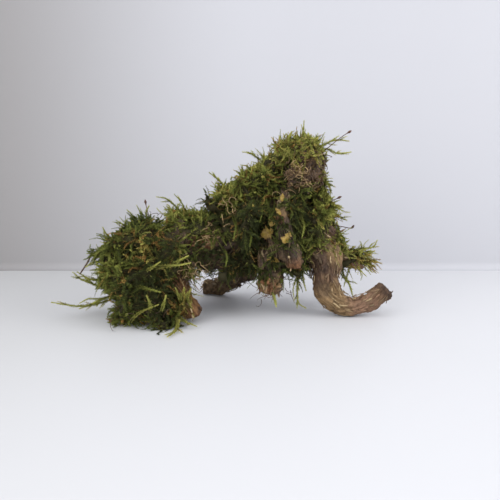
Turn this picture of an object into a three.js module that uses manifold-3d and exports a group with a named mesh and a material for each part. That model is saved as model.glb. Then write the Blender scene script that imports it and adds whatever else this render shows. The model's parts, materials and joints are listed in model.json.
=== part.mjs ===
// A gnarled branch of root wood, overgrown with clumps of feathery moss.
// It stands by itself on a bent leg, a back leg, a foot and its lowest clump of moss.
// Millimetres, +Z up. X runs along the branch, and -Y is the side that it is usually seen from.
import * as THREE from "three";
import { ImprovedNoise } from "three/addons/math/ImprovedNoise.js";
import { mergeVertices } from "three/addons/utils/BufferGeometryUtils.js";
import Module from "manifold-3d";

const wasm = await Module();
wasm.setup();

// Free space between neighbouring pieces. Clumps have more, because their skin is steep in places.
const GAP = 0.5;
const CLUMP_GAP = 0.9;
// Vertices closer than this are one vertex, and forms smaller than this are left out.
const WELD = 1e-3;
const LEAST_FORM = 0.1;
// The skin of a lump of moss, in shares of its radii: it swells and sinks gently, and is drawn out
// into tufts that droop a little, with the skin between them sunk by TUFT_ROOT.
const SWELL = 0.2;
const SWELL_SCALE = 1.9;
const TUFT_REACH = 1;
const TUFT_SCALE = 7.3;
const TUFT_ROOT = 0.1;
const TUFT_DROOP = 0.3;
const SMALL_LUMP = 22;
const SMALL_LUMP_DETAIL = 1;
const LUMP_DETAIL = 2;
// How fine the knots of a limb's skin are.
const GNARL_SCALE = 0.22;
// The section of shoots, stalks and twigs, and their steps for each stretch of their route.
const BAR_SIDES = 4;
const BAR_STEPS = 2;
// The size of the half space above the surface that the branch stands on.
const ABOVE_GROUND = 400;
// Where the rays that look for the front of the branch behind a leaf start, and how far out they are
// on the leaf, as a share of its length and width.
const IN_FRONT = -120;
const RAY_SHARE = 0.35;

const WOOD = { color: 0x7a5c42, roughness: 0.85, metalness: 0 };
const OLD_WOOD = { color: 0x8b7355, roughness: 0.8, metalness: 0 };
const RED_WOOD = { color: 0x8a4f2a, roughness: 0.7, metalness: 0 };
const DEEP_MOSS = { color: 0x3f4a1c, roughness: 0.95, metalness: 0 };
const OLIVE_MOSS = { color: 0x5f6524, roughness: 0.95, metalness: 0 };
const LIGHT_MOSS = { color: 0x7c8a35, roughness: 0.9, metalness: 0 };
const LITTER = { color: 0x4f3d2b, roughness: 1, metalness: 0 };
const DRY_LEAF = { color: 0xb08a2c, roughness: 0.75, metalness: 0 };
const CAPSULE = { color: 0x4a3226, roughness: 0.6, metalness: 0 };

// The wood, split at its forks. Each route point is [x, y, z, radius], and each limb is cut back
// from the limbs before it.
const LIMBS = {
  main_stem: {
    look: WOOD,
    route: [
      [-76, -13, 13, 8],
      [-68, -12, 27, 10],
      [-54, -8, 38, 12.5],
      [-38, -2, 42, 14.5],
      [-22, 0, 43, 15.5],
      [-6, 2, 51, 14.5],
      [10, 4, 62, 13.5],
    ],
    sides: 9,
    steps: 10,
    gnarl: 0.2,
  },
  peak_limb: {
    look: WOOD,
    route: [
      [8, 4, 60, 13],
      [19, 5, 76, 11.5],
      [27, 5, 90, 9.5],
      [32, 5, 103, 7],
    ],
    sides: 7,
    steps: 4,
    gnarl: 0.2,
  },
  right_leg: {
    look: OLD_WOOD,
    route: [
      [18, 3, 63, 11],
      [32, 1, 57, 11.5],
      [43.5, -3, 46, 10.5],
      [47, -7, 34, 8.7],
      [47.6, -10, 21.5, 8],
      [52, -12, 11, 7.3],
      [62.5, -12.5, 5.4, 6.4],
      [74, -13.5, 9.4, 5.6],
      [81.5, -15, 15.2, 5.2],
      [84.3, -15.3, 18, 5.6],
    ],
    sides: 11,
    steps: 24,
    gnarl: 0.12,
  },
  side_spur: {
    look: OLD_WOOD,
    route: [
      [50, -2, 39, 6],
      [60, 0, 34.5, 4.2],
      [68, 1, 31, 2.8],
      [74, 1, 28.5, 1.6],
    ],
    sides: 6,
    steps: 5,
    gnarl: 0.2,
  },
  back_leg: {
    look: WOOD,
    route: [
      [2, 10, 38, 9],
      [-1, 22, 27, 8],
      [-8, 33, 18.5, 7],
      [-18, 43, 10, 6.3],
      [-28, 50, 5.3, 6.2],
      [-35, 53, 5.2, 5.4],
    ],
    sides: 9,
    steps: 10,
    gnarl: 0.2,
  },
  middle_stub: {
    look: WOOD,
    route: [
      [14, -5, 50, 9],
      [13.5, -11, 37, 8.2],
      [13, -14, 27, 7.4],
      [12.5, -14.5, 20, 7.3],
      [12, -15, 14.6, 5.4],
    ],
    sides: 9,
    steps: 8,
    gnarl: 0.28,
  },
  front_root: {
    look: WOOD,
    route: [
      [22, -14, 78, 3.2],
      [19, -21, 65, 4.2],
      [21, -24, 53, 5],
      [24, -23, 42, 5.6],
      [25.5, -20, 32.5, 4.2],
    ],
    sides: 7,
    steps: 8,
    gnarl: 0.24,
  },
  left_foot: {
    look: RED_WOOD,
    route: [
      [-52, -13, 33, 7],
      [-45, -20, 23, 6],
      [-38, -26, 12, 5],
      [-34.5, -28, 6, 5.4],
      [-33.5, -28.5, 1, 4.8],
    ],
    sides: 8,
    steps: 8,
    gnarl: 0.12,
  },
};

// The clumps. Each lump is [x, y, z, x radius, y radius, z radius], and each clump is cut back from
// the wood and from the clumps before it.
const CLUMPS = {
  root_litter: {
    look: LITTER,
    lumps: [
      [37, -6, 93, 9.5, 10, 11],
      [32, -9, 84, 8, 8, 7],
    ],
  },
  crown_moss: {
    look: LIGHT_MOSS,
    lumps: [
      [31, 5, 103, 17, 18, 12],
      [28, 6, 88, 16, 20, 15],
      [41, 6, 94, 8, 14, 12],
    ],
  },
  ridge_moss: {
    look: OLIVE_MOSS,
    lumps: [
      [-9, 5, 75, 16, 20, 10],
      [7, 6, 84, 16, 22, 13],
      [18, 6, 92, 12, 19, 13],
    ],
  },
  body_moss: {
    look: DEEP_MOSS,
    lumps: [
      [1, 3, 57, 20, 28, 28],
      [25, 4, 57, 20, 28, 31],
      [-3, 8, 35, 22, 24, 12],
      [-14, 6, 68, 14, 20, 13],
    ],
  },
  saddle_moss: {
    look: OLIVE_MOSS,
    lumps: [
      [-40, 4, 51, 19, 21, 17],
      [-27, 8, 46, 15, 19, 20],
    ],
  },
  left_moss: {
    look: OLIVE_MOSS,
    lumps: [
      [-63, -16, 21, 26, 25, 25],
      [-66, -8, 42, 24, 24, 19],
      [-84, -10, 29, 12, 20, 19],
      [-62, -17, 9, 24, 25, 15],
      [-47, -6, 37, 13, 21, 18],
    ],
  },
  right_flank_moss: {
    look: OLIVE_MOSS,
    lumps: [
      [43, 6, 65, 12, 22, 22],
      [52, 7, 46, 10, 16, 13],
      [40, 11, 46, 11, 14, 15],
    ],
  },
  spur_moss: {
    look: LIGHT_MOSS,
    lumps: [
      [65, 3, 36, 12, 9, 6.5],
      [74, 2, 33, 6, 6, 5],
    ],
  },
};

// Single shoots that reach past the clumps. Each route point is [x, y, z], from root to tip, and the
// tip has this share of the root's radius.
const TIP_SHARE = 0.5;
const SHOOT_RADIUS = 1.3;
const SHOOTS = {
  shoot_left_low: [
    [-84, -14, 12], [-96, -16, 8.5], [-106, -18, 7.6], [-114.5, -19, 9], [-121.5, -20, 10.5],
  ],
  shoot_left_floor: [[-84, -10, 13], [-96, -8, 9], [-103, -6, 5.5], [-110, -6, 3]],
  shoot_left_middle: [[-90, -11, 17], [-98.5, -14, 21], [-106, -14, 24.5], [-110, -14, 28]],
  shoot_left_upper: [[-90, -6, 22], [-103, -4, 22], [-111, -4, 26.5]],
  shoot_left_shoulder: [[-78, -4, 53], [-88, -4, 48], [-92, -5, 49], [-92.4, -6, 53]],
  shoot_left_crest: [[-72, -4, 56], [-80.5, -6, 57.6], [-84, -7, 60]],
  shoot_left_tip: [[-65, 0, 52], [-70, 0, 63.5], [-72.5, 0, 69]],
  shoot_saddle_long: [[-40, 4, 58], [-50, 2, 70.5], [-54.5, 0, 73.8], [-59, -2, 74.6]],
  shoot_saddle_short: [[-39, 2, 58], [-44.5, 2, 71.5], [-48.5, 2, 76]],
  shoot_shoulder: [[-15, 4, 80], [-21, 4, 86], [-26, 4, 90]],
  shoot_ridge: [[12, 4, 94], [4, 4, 100], [0, 4, 102.6], [-4.5, 4, 103.2]],
  shoot_crown_top: [[30, 4, 102], [33.8, 4, 115], [34.3, 4, 122.5]],
  shoot_crown_long: [[42, 2, 104], [51, 2, 109.6], [56.7, 0, 110.3], [62, 0, 109.6]],
  shoot_crown_curl: [[42, 4, 101], [50, 4, 105], [55, 4, 102.6], [60.5, 6, 102.6], [65.6, 8, 103.6]],
  shoot_crown_drop: [[43, 4, 89], [49, 4, 85.5], [51.8, 4, 80.5], [52, 4, 75]],
  shoot_flank_upper: [[42, 4, 69], [52, 2, 70], [60, 2, 67.5]],
  shoot_flank_lower: [[46, 4, 61], [56, 4, 62], [63, 4, 59.5]],
  shoot_spur_long: [[66, 3, 39], [72, 2, 41], [77, 0, 41.6], [80.5, 0, 43], [82.3, 0, 46.5]],
  shoot_spur_tip: [[74, 3, 33], [79, 4, 30], [83, 4, 28.6]],
  shoot_spur_hanging: [[62, 5, 32], [62, 6, 24.5], [66.5, 6, 16.5], [69, 6, 8.5]],
  shoot_middle_hanging: [[30, -5, 32], [30.5, -8, 23], [30, -9, 14.5], [31, -10, 7.5], [35, -12, 5]],
  shoot_fallen: [[-43, -32, 6], [-41, -44, 1.9], [-42, -53, 1.6], [-43.5, -59, 1.6]],
  shoot_back_low: [[-2, 30, 30], [6, 40, 22], [10, 46, 13], [11, 50, 4]],
  shoot_back_left: [[-60, 8, 36], [-62, 20, 38], [-66, 28, 34], [-68, 33, 28]],
  shoot_back_right: [[28, 28, 64], [30, 38, 66], [35, 44, 62]],
};

// Ripe stalks with a capsule at the tip.
const STALK_RADIUS = 0.35;
const STALK_CAPSULE_RADIUS = 0.9;
const STALKS = {
  stalk_crown: [[42, 2, 99], [50.5, 0, 106.5], [58, -2, 112.4], [63.5, -2, 115.8]],
  stalk_flank: [[45, 2, 69.5], [52, 0, 72], [58.3, -2, 75]],
  stalk_side: [[52, 1, 57], [60.5, 0, 55.4], [65, -2, 54.9], [66.8, -2, 56.8]],
  stalk_left: [[-62, 0, 52], [-66, -1, 67], [-67, -1, 73]],
};

// Bare twigs: one stands out of the left clump and bends down.
const TWIG_RADIUS = 0.8;
const TWIGS = {
  bare_twig: [
    [-84, -3, 41.8], [-95.4, -8, 40.3], [-98.6, -12, 39.2], [-100.6, -14, 34.6], [-105.8, -14, 27],
  ],
};

// Dead leaves caught on the front of the moss: [x, z, length, width, turn in degrees].
const LEAF_THICKNESS = 0.8;
const LEAF_CUP = 0.12;
// The leaf's edges bow out by these shares of its width, nearer to its stalk than to its tip.
const LEAF_BOW = 0.62;
const LEAF_BOW_BELOW = 0.5;
const LEAF_BOW_AT = 0.125;
const LEAF_CURVE_STEPS = 6;
const LEAVES = {
  dry_leaf_left: [10.5, 53, 9, 7.5, 20],
  dry_leaf_upper: [13.5, 60.5, 7, 4.5, 70],
  dry_leaf_lower: [14, 36.5, 8, 5, -10],
};

const noise = new ImprovedNoise();

/** The noise at a point, scale being how fine it is. */
function noiseAt(point, scale = 1) {
  return noise.noise(point.x * scale, point.y * scale, point.z * scale);
}

/** A closed solid from a geometry, with the vertices that it repeats merged. */
function solidFrom(geometry) {
  const bare = new THREE.BufferGeometry();
  bare.setAttribute("position", geometry.getAttribute("position"));
  bare.setIndex(geometry.index);
  const merged = mergeVertices(bare, WELD);
  return new wasm.Manifold(
    new wasm.Mesh({
      numProp: 3,
      vertProperties: new Float32Array(merged.getAttribute("position").array),
      triVerts: new Uint32Array(merged.index.array),
    }),
  );
}

/** The geometry that shows a solid, flat shaded. */
function geometryFrom(solid) {
  const mesh = solid.getMesh();
  const geometry = new THREE.BufferGeometry();
  const places = [];
  for (let i = 0; i < mesh.numVert; i++) {
    places.push(...mesh.vertProperties.slice(i * mesh.numProp, i * mesh.numProp + 3));
  }
  geometry.setAttribute("position", new THREE.Float32BufferAttribute(places, 3));
  geometry.setIndex([...mesh.triVerts]);
  geometry.computeVertexNormals();
  return geometry;
}

/** The largest body of a solid that a cut may have left in pieces. */
function largestBody(solid) {
  return solid.decompose().reduce((most, body) => (body.volume() > most.volume() ? body : most));
}

/** The half space above the surface that the branch stands on. */
function aboveGround() {
  const block = new THREE.BoxGeometry(ABOVE_GROUND, ABOVE_GROUND, ABOVE_GROUND);
  return solidFrom(block.translate(0, 0, ABOVE_GROUND / 2));
}

/**
 * A limb, shoot or stalk: a round bar bent along its route, its radius following the route.
 * gnarl is how uneven its skin is, and grow makes it thicker all round, to cut its neighbours back.
 */
function barSolid({ route, sides, steps, gnarl }, grow = 0) {
  const spine = new THREE.CatmullRomCurve3(
    route.map(([x, y, z]) => new THREE.Vector3(x, y, z)),
    false,
    "centripetal",
  );
  const girth = new THREE.SplineCurve(route.map((point, i) => new THREE.Vector2(i, point[3])));
  const frames = spine.computeFrenetFrames(steps);
  const bar = new THREE.CylinderGeometry(1, 1, 1, sides, steps);
  const places = bar.getAttribute("position");
  const point = new THREE.Vector3();
  for (let i = 0; i < places.count; i++) {
    const along = 0.5 - places.getY(i);
    const ring = Math.round(along * steps);
    const side = places.getX(i);
    const front = places.getZ(i);
    const centre = spine.getPointAt(along);
    const outward = new THREE.Vector3()
      .addScaledVector(frames.normals[ring], side)
      .addScaledVector(frames.binormals[ring], front);
    const radius = girth.getPoint(spine.getUtoTmapping(along)).y;
    point.copy(centre).addScaledVector(outward, radius);
    const uneven = 1 + gnarl * noiseAt(point, GNARL_SCALE);
    const atEnd = ring === 0 || ring === steps ? Math.sign(along - 0.5) * grow : 0;
    point.copy(centre).addScaledVector(outward, radius * uneven + grow);
    point.addScaledVector(frames.tangents[ring], atEnd);
    places.setXYZ(i, point.x, point.y, point.z);
  }
  return solidFrom(bar);
}

/** The point of a lump's skin in the direction way, grow further out. */
function onSkin([x, y, z, across, deep, high], way, grow) {
  const centre = new THREE.Vector3(x, y, z);
  const swell = SWELL * noiseAt(way.clone().multiplyScalar(SWELL_SCALE).add(centre));
  const tuft = TUFT_REACH * Math.max(0, noiseAt(way.clone().multiplyScalar(TUFT_SCALE).add(centre)));
  const reach = new THREE.Vector3(across, deep, high).multiplyScalar(1 + swell + tuft - TUFT_ROOT);
  const point = reach.addScalar(grow).multiply(way).add(centre);
  point.z -= TUFT_DROOP * tuft * high;
  return point;
}

/** One lump of moss. */
function lumpSolid(lump, grow) {
  const small = Math.max(...lump.slice(3)) < SMALL_LUMP;
  const ball = new THREE.IcosahedronGeometry(1, small ? SMALL_LUMP_DETAIL : LUMP_DETAIL);
  const places = ball.getAttribute("position");
  const way = new THREE.Vector3();
  for (let i = 0; i < places.count; i++) {
    const point = onSkin(lump, way.fromBufferAttribute(places, i).normalize(), grow);
    places.setXYZ(i, point.x, point.y, point.z);
  }
  return solidFrom(ball);
}

/** A clump of moss: its lumps, grown together. */
function clumpSolid({ lumps }, grow = 0) {
  return lumps.map((lump) => lumpSolid(lump, grow)).reduce((all, lump) => all.add(lump));
}

/** A thin dead leaf, cupped along its midrib, that lies against the front of the moss at a depth. */
function leafSolid([x, z, length, width, turn], depth) {
  const outline = new THREE.Shape();
  outline.moveTo(-length / 2, 0);
  outline.quadraticCurveTo(-length * LEAF_BOW_AT, width * LEAF_BOW, length / 2, 0);
  outline.quadraticCurveTo(length * LEAF_BOW_AT, -width * LEAF_BOW_BELOW, -length / 2, 0);
  const leaf = new THREE.ExtrudeGeometry(outline, {
    depth: LEAF_THICKNESS,
    bevelEnabled: false,
    curveSegments: LEAF_CURVE_STEPS,
  });
  const places = leaf.getAttribute("position");
  for (let i = 0; i < places.count; i++) {
    const cup = LEAF_CUP * (places.getY(i) ** 2 / width - places.getX(i) ** 2 / length);
    places.setZ(i, places.getZ(i) + cup);
  }
  leaf.rotateZ(THREE.MathUtils.degToRad(turn)).rotateX(Math.PI / 2);
  leaf.translate(x, depth, z);
  return solidFrom(leaf);
}

/** A route of [x, y, z] points with a radius for each, tapering from root to tip. */
function tapering(points, radius, tipShare) {
  return points.map(([x, y, z], i) => [
    x,
    y,
    z,
    radius * (1 - (1 - tipShare) * (i / (points.length - 1))),
  ]);
}

const branch = new THREE.Group();
const ground = aboveGround();
// What the next piece has to keep clear of: every piece so far, grown by the gap.
let taken = null;

/** Cuts a piece back from the others and from the ground, and adds it as its own named mesh. */
function fitPiece(name, solid, grown, look) {
  const free = taken ? solid.subtract(taken) : solid;
  const piece = largestBody(free.intersect(ground).simplify(LEAST_FORM));
  const mesh = new THREE.Mesh(geometryFrom(piece), new THREE.MeshStandardMaterial(look));
  mesh.name = name;
  branch.add(mesh);
  taken = taken ? taken.add(grown) : grown;
}

/** Adds a set of slender bars, such as shoots or stalks, cut back from the clumps that hold them. */
function fitBars(bars, look, shape) {
  for (const [name, points] of Object.entries(bars)) {
    const steps = BAR_STEPS * (points.length - 1);
    const bar = { sides: BAR_SIDES, steps, gnarl: 0, ...shape(points) };
    fitPiece(name, barSolid(bar), barSolid(bar, GAP), look);
  }
}

/** How far forward the branch reaches behind a leaf: the foremost point that any of its rays meets. */
function frontOf([x, z, length, width, turn]) {
  const angle = THREE.MathUtils.degToRad(turn);
  const shares = [-RAY_SHARE, 0, RAY_SHARE];
  const hits = shares.flatMap((along) =>
    shares.map((across) => {
      const start = new THREE.Vector3(length * along, 0, width * across);
      start.applyAxisAngle(new THREE.Vector3(0, -1, 0), angle).add(new THREE.Vector3(x, IN_FRONT, z));
      const ray = new THREE.Raycaster(start, new THREE.Vector3(0, 1, 0));
      return ray.intersectObjects(branch.children)[0].point.y;
    }),
  );
  return Math.min(...hits);
}

for (const [name, limb] of Object.entries(LIMBS)) {
  fitPiece(name, barSolid(limb), barSolid(limb, GAP), limb.look);
}

for (const [name, clump] of Object.entries(CLUMPS)) {
  fitPiece(name, clumpSolid(clump), clumpSolid(clump, CLUMP_GAP), clump.look);
}

fitBars(SHOOTS, LIGHT_MOSS, (points) => ({ route: tapering(points, SHOOT_RADIUS, TIP_SHARE) }));
fitBars(TWIGS, WOOD, (points) => ({ route: tapering(points, TWIG_RADIUS, TIP_SHARE) }));
fitBars(STALKS, CAPSULE, (points) => {
  const route = tapering(points, STALK_RADIUS, 1);
  route.at(-1)[3] = STALK_CAPSULE_RADIUS;
  return { route };
});

branch.updateMatrixWorld(true);
for (const [name, leaf] of Object.entries(LEAVES)) {
  const solid = leafSolid(leaf, frontOf(leaf) - GAP);
  fitPiece(name, solid, solid, DRY_LEAF);
}

// The origin is the middle of the box that the branch fills, on the surface that it stands on.
const middle = new THREE.Box3().setFromObject(branch).getCenter(new THREE.Vector3());
branch.position.set(-middle.x, -middle.y, 0);

export default branch;
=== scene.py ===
"""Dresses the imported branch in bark, feathery moss, litter and dead leaves.

Routes and places are in plan millimetres, the frame in which the branch was drawn: X runs along
the branch, -Y faces the camera and Z is the height over the surface that it stands on. Meshes are
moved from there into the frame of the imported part, in metres.
"""

from __future__ import annotations

import json
import logging
import math
from collections.abc import Sequence
from dataclasses import dataclass, field
from enum import Enum
from typing import Any

import bpy
import numpy as np
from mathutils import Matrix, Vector, noise
from mathutils.bvhtree import BVHTree

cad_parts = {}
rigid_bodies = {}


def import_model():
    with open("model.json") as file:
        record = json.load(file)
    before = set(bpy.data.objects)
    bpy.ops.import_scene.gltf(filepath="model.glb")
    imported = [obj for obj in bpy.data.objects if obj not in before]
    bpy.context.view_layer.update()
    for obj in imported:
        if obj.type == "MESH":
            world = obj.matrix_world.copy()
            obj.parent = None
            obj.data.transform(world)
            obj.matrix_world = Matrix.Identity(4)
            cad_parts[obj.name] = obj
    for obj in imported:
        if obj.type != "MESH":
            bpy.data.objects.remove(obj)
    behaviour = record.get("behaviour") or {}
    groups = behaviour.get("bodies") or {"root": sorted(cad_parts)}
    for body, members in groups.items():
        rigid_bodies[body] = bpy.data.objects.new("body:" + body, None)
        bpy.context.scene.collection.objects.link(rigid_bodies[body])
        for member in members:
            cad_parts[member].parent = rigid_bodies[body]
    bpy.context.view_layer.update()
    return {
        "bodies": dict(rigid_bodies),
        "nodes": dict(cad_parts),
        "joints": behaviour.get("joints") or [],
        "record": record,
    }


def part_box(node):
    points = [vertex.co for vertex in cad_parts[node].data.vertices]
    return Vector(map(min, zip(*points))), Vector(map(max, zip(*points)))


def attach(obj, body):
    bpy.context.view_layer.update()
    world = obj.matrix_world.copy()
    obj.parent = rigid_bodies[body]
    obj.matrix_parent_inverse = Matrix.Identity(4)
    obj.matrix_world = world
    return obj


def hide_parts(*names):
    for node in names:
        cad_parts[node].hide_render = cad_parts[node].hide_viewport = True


LOG = logging.getLogger("branch")

MM = 0.001
BODY = "root"
# Where the plan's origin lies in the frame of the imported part, in millimetres.
PLAN_ORIGIN = np.array((16.624, 0.533, 0.0))
# The lowest that anything lies over the surface that the branch stands on.
ON_FLOOR = 0.35
# The map in which a leaf's place across is its tone and its place up is how near it is to the tip.
PALETTE = "OFBake"
# How far the palette's values stay from the edges of the map.
PALETTE_EDGE = 0.002

Array = np.ndarray
Colour = tuple[float, float, float]
Place = tuple[float, float, float]


def from_screen(red: int, green: int, blue: int) -> Colour:
    """Turns a colour as a screen shows it, 0 to 255, into light values, by the usual sRGB curve."""
    return tuple(((c / 255 + 0.055) / 1.055) ** 2.4 if c > 10 else c / 3294.6 for c in (red, green, blue))


def darker(colour: Colour, share: float) -> Colour:
    """Scales a colour's light values."""
    return tuple(c * share for c in colour)


def unit(vectors: Array) -> Array:
    """Scales vectors to length 1."""
    return vectors / np.maximum(np.linalg.norm(vectors, axis=-1, keepdims=True), 1e-9)


def rough(points: Array, scale: float, seed: float = 0.0) -> Array:
    """Reads smooth noise at points.

    Args:
        points: Places, one a row.
        scale: How fine the noise is, in changes for each unit of length.
        seed: Which of many like noises is read.

    Returns:
        One value a point, from about -1 to 1.
    """
    places = (points * scale + seed).tolist()
    return np.array([noise.noise(place) for place in places])


def smooth(values: Array, low: float, high: float) -> Array:
    """Rises from 0 at low to 1 at high, easing at both ends."""
    share = np.clip((values - low) / (high - low), 0, 1)
    return share * share * (3 - 2 * share)


def distances(points: Array, middle: Place) -> Array:
    """Measures how far points lie from a place."""
    return np.linalg.norm(points - np.array(middle), axis=-1)


def to_row(points: Array) -> Array:
    """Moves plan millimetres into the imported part's frame, in metres."""
    return (points + PLAN_ORIGIN) * MM


def to_plan(points: Array) -> Array:
    """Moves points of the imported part's frame, in metres, into plan millimetres."""
    return points / MM - PLAN_ORIGIN


def ring_walls(rings: int, sides: int) -> Array:
    """Gives the faces between closed rings of points, each ring joined to the next."""
    ring, corner = np.meshgrid(np.arange(rings - 1), np.arange(sides), indexing="ij")
    here, beside = ring * sides + corner, ring * sides + (corner + 1) % sides
    return np.stack((here, beside, beside + sides, here + sides), axis=-1).reshape(-1, 4)


def fan(rim: int, sides: int, tip: int) -> Array:
    """Gives the triangles that close a ring of points, which starts at rim, with the point tip."""
    turn = np.arange(sides)
    return np.stack((rim + turn, rim + (turn + 1) % sides, np.full(sides, tip)), axis=1)


def blades(count: int) -> Array:
    """Gives the two triangles of each of many leaves, whose points are base, left, tip and right."""
    first = np.arange(count)[:, None] * 4
    return np.vstack((first + (0, 1, 2), first + (0, 2, 3)))


def place_in_scene(name: str, data: Any) -> bpy.types.Object:
    """Makes an object of a mesh, a lamp or a camera, and links it to the scene."""
    made = bpy.data.objects.new(name, data)
    bpy.context.scene.collection.objects.link(made)
    return made


class Wood(Enum):
    """The ways in which bark departs from its plain brown, each kept as one number a point."""

    GOLD = "gold"
    RED = "red"
    DARK = "dark"
    PALE = "pale"
    GREEN = "green"


@dataclass
class Route:
    """A smooth line through given points, in plan millimetres.

    Args:
        points: Each point is x, y, z, and a radius where the route has one.
        step: How far apart its samples lie.
        centres: The samples.
        tangents: Which way the line runs at each sample.
        sides: Across the line at each sample.
        ups: Across it the other way.
        radii: The radius at each sample.
        along: How far along the line each sample is.
    """

    points: Sequence[Sequence[float]]
    step: float = 0.8
    centres: Array = field(init=False)
    tangents: Array = field(init=False)
    sides: Array = field(init=False)
    ups: Array = field(init=False)
    radii: Array = field(init=False)
    along: Array = field(init=False)

    def __post_init__(self) -> None:
        """Samples the line at even steps, with a frame at each sample that turns as little as can be."""
        dense, dense_at = self._curve(steps=24)
        run = np.concatenate(([0], np.cumsum(np.linalg.norm(np.diff(dense, axis=0), axis=1))))
        count = max(3, round(run[-1] / self.step) + 1)
        self.along = np.linspace(0, run[-1], count)
        self.centres = np.stack([np.interp(self.along, run, dense[:, i]) for i in range(3)], axis=1)
        at = np.interp(self.along, run, dense_at)
        given = [point[3] if len(point) > 3 else 1.0 for point in self.points]
        self.radii = np.interp(at, range(len(given)), given)
        self.tangents = unit(np.gradient(self.centres, axis=0))
        self.sides = np.zeros_like(self.centres)
        first_side = (0.31, 0.94, 0.12)
        side = unit(np.cross(self.tangents[0], first_side))
        for i, tangent in enumerate(self.tangents):
            side = unit(side - tangent * np.dot(side, tangent))
            self.sides[i] = side
        self.ups = np.cross(self.tangents, self.sides)

    @property
    def length(self) -> float:
        """How long the line is."""
        return float(self.along[-1])

    def outward(self, turn: Array | float, at: Any = slice(None)) -> Array:
        """Gives the ways out from the line.

        Args:
            turn: How far round the line they point, in radians.
            at: Which samples they start from.

        Returns:
            Unit vectors.
        """
        turn = np.asarray(turn)[..., None]
        return np.cos(turn) * self.sides[at] + np.sin(turn) * self.ups[at]

    def rings(self, sides: int) -> Array:
        """Gives the ways out all round each sample, as samples by sides by 3."""
        return self.outward(np.linspace(0, math.tau, sides, endpoint=False), np.s_[:, None])

    def _curve(self, steps: int) -> tuple[Array, Array]:
        """Fits a centripetal curve through the points.

        Args:
            steps: Samples for each stretch between two points.

        Returns:
            The samples, and where each lies on the list of points.
        """
        line = np.array([point[:3] for point in self.points], float)
        line = np.vstack((2 * line[0] - line[1], line, 2 * line[-1] - line[-2]))
        share = np.linspace(0, 1, steps, endpoint=False)[:, None]
        places, at = [], []
        for i in range(1, len(line) - 2):
            before, start, end, after = line[i - 1 : i + 3]
            pairs = ((before, start), (start, end), (end, after))
            near, span, far = (max(np.linalg.norm(b - a) ** 0.5, 1e-4) for a, b in pairs)
            leave = (start - before) / near - (end - before) / (near + span) + (end - start) / span
            reach = (end - start) / span - (after - start) / (span + far) + (after - end) / far
            leave, reach = leave * span, reach * span
            cubic = 2 * (start - end) + leave + reach
            square = 3 * (end - start) - 2 * leave - reach
            places.append(cubic * share**3 + square * share**2 + leave * share + start)
            at.append(share[:, 0] + i - 1)
        return np.vstack((*places, line[-2:-1])), np.append(np.concatenate(at), len(self.points) - 1)


@dataclass
class Faces:
    """Points and faces gathered for one piece, in plan millimetres, with the numbers its finish reads.

    Args:
        points: Blocks of places.
        faces: Blocks of rows of 3 or 4 indices.
        looks: Which of the piece's materials each face takes, block by block.
        numbers: Values for the finish by name, block by block.
        total: How many points there are so far.
    """

    points: list[Array] = field(default_factory=list)
    faces: list[Array] = field(default_factory=list)
    looks: list[Array] = field(default_factory=list)
    numbers: dict[str, list[Array]] = field(default_factory=dict)
    total: int = 0

    def add(self, points: Array, *blocks: Array, look: int = 0, **numbers: Array | float) -> None:
        """Adds points and their faces.

        Args:
            points: Places, one a row.
            blocks: Rows of 3 or of 4 indices into these points.
            look: Which of the piece's materials the faces take.
            numbers: Values for the finish, one a point or one for all.
        """
        self.points.append(points)
        for faces in blocks:
            self.faces.append(faces + self.total)
            self.looks.append(np.full(len(faces), look))
        for name in dict.fromkeys((*self.numbers, *numbers)):
            known = self.numbers.setdefault(name, [np.zeros(self.total)] if self.total else [])
            value = np.asarray(numbers.get(name, 0.0), float)
            known.append(np.broadcast_to(value, (len(points),)).copy())
        self.total += len(points)

    def tube(self, route: Route, radii: Array, sides: int, look: int = 0, **numbers: Array | float) -> None:
        """Adds a round tube along a route, closed at both ends.

        Args:
            route: The line that it follows.
            radii: Its radius at each sample of the route.
            sides: How many sides its section has.
            look: Which of the piece's materials it takes.
            numbers: Values for the finish, one a sample or one for all.
        """
        rings = len(route.centres)
        skin = route.centres[:, None] + route.rings(sides) * np.asarray(radii)[:, None, None]
        points = np.vstack((skin.reshape(-1, 3), route.centres[:1], route.centres[-1:]))
        given = {}
        for name, value in numbers.items():
            each = np.broadcast_to(np.asarray(value, float), (rings,))
            given[name] = np.concatenate((np.repeat(each, sides), each[:1], each[-1:]))
        root, tip = fan(0, sides, rings * sides), fan((rings - 1) * sides, sides, rings * sides + 1)
        self.add(points, ring_walls(rings, sides), root[:, ::-1], tip, look=look, **given)

    def piece(self, name: str, *materials: bpy.types.Material) -> bpy.types.Object:
        """Makes the Blender object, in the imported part's frame.

        Args:
            name: The piece's name.
            materials: Its materials, in the order of the look numbers.

        Returns:
            The new object.
        """
        mesh = bpy.data.meshes.new(name)
        points = to_row(np.vstack(self.points))
        points[:, 2] = np.maximum(points[:, 2], ON_FLOOR * MM)
        rows = [row for block in self.faces for row in block.tolist()]
        mesh.from_pydata(points.tolist(), [], rows)
        mesh.polygons.foreach_set("material_index", np.concatenate(self.looks).astype(np.int32))
        mesh.polygons.foreach_set("use_smooth", np.ones(len(rows), bool))
        for material in materials:
            mesh.materials.append(material)
        values = {key: np.concatenate(blocks) for key, blocks in self.numbers.items()}
        if "tone" in values:
            corners = np.zeros(len(mesh.loops), np.int32)
            mesh.loops.foreach_get("vertex_index", corners)
            spread = np.stack((values.pop("tone")[corners], values.pop("tip")[corners]), axis=1)
            spread = np.clip(spread, PALETTE_EDGE, 1 - PALETTE_EDGE)
            mesh.uv_layers.new(name=PALETTE).data.foreach_set("uv", spread.ravel().astype(np.float32))
        for key, value in values.items():
            layer = mesh.attributes.new(key, "FLOAT", "POINT")
            layer.data.foreach_set("value", value.astype(np.float32))
        mesh.validate()
        return place_in_scene(name, mesh)


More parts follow.
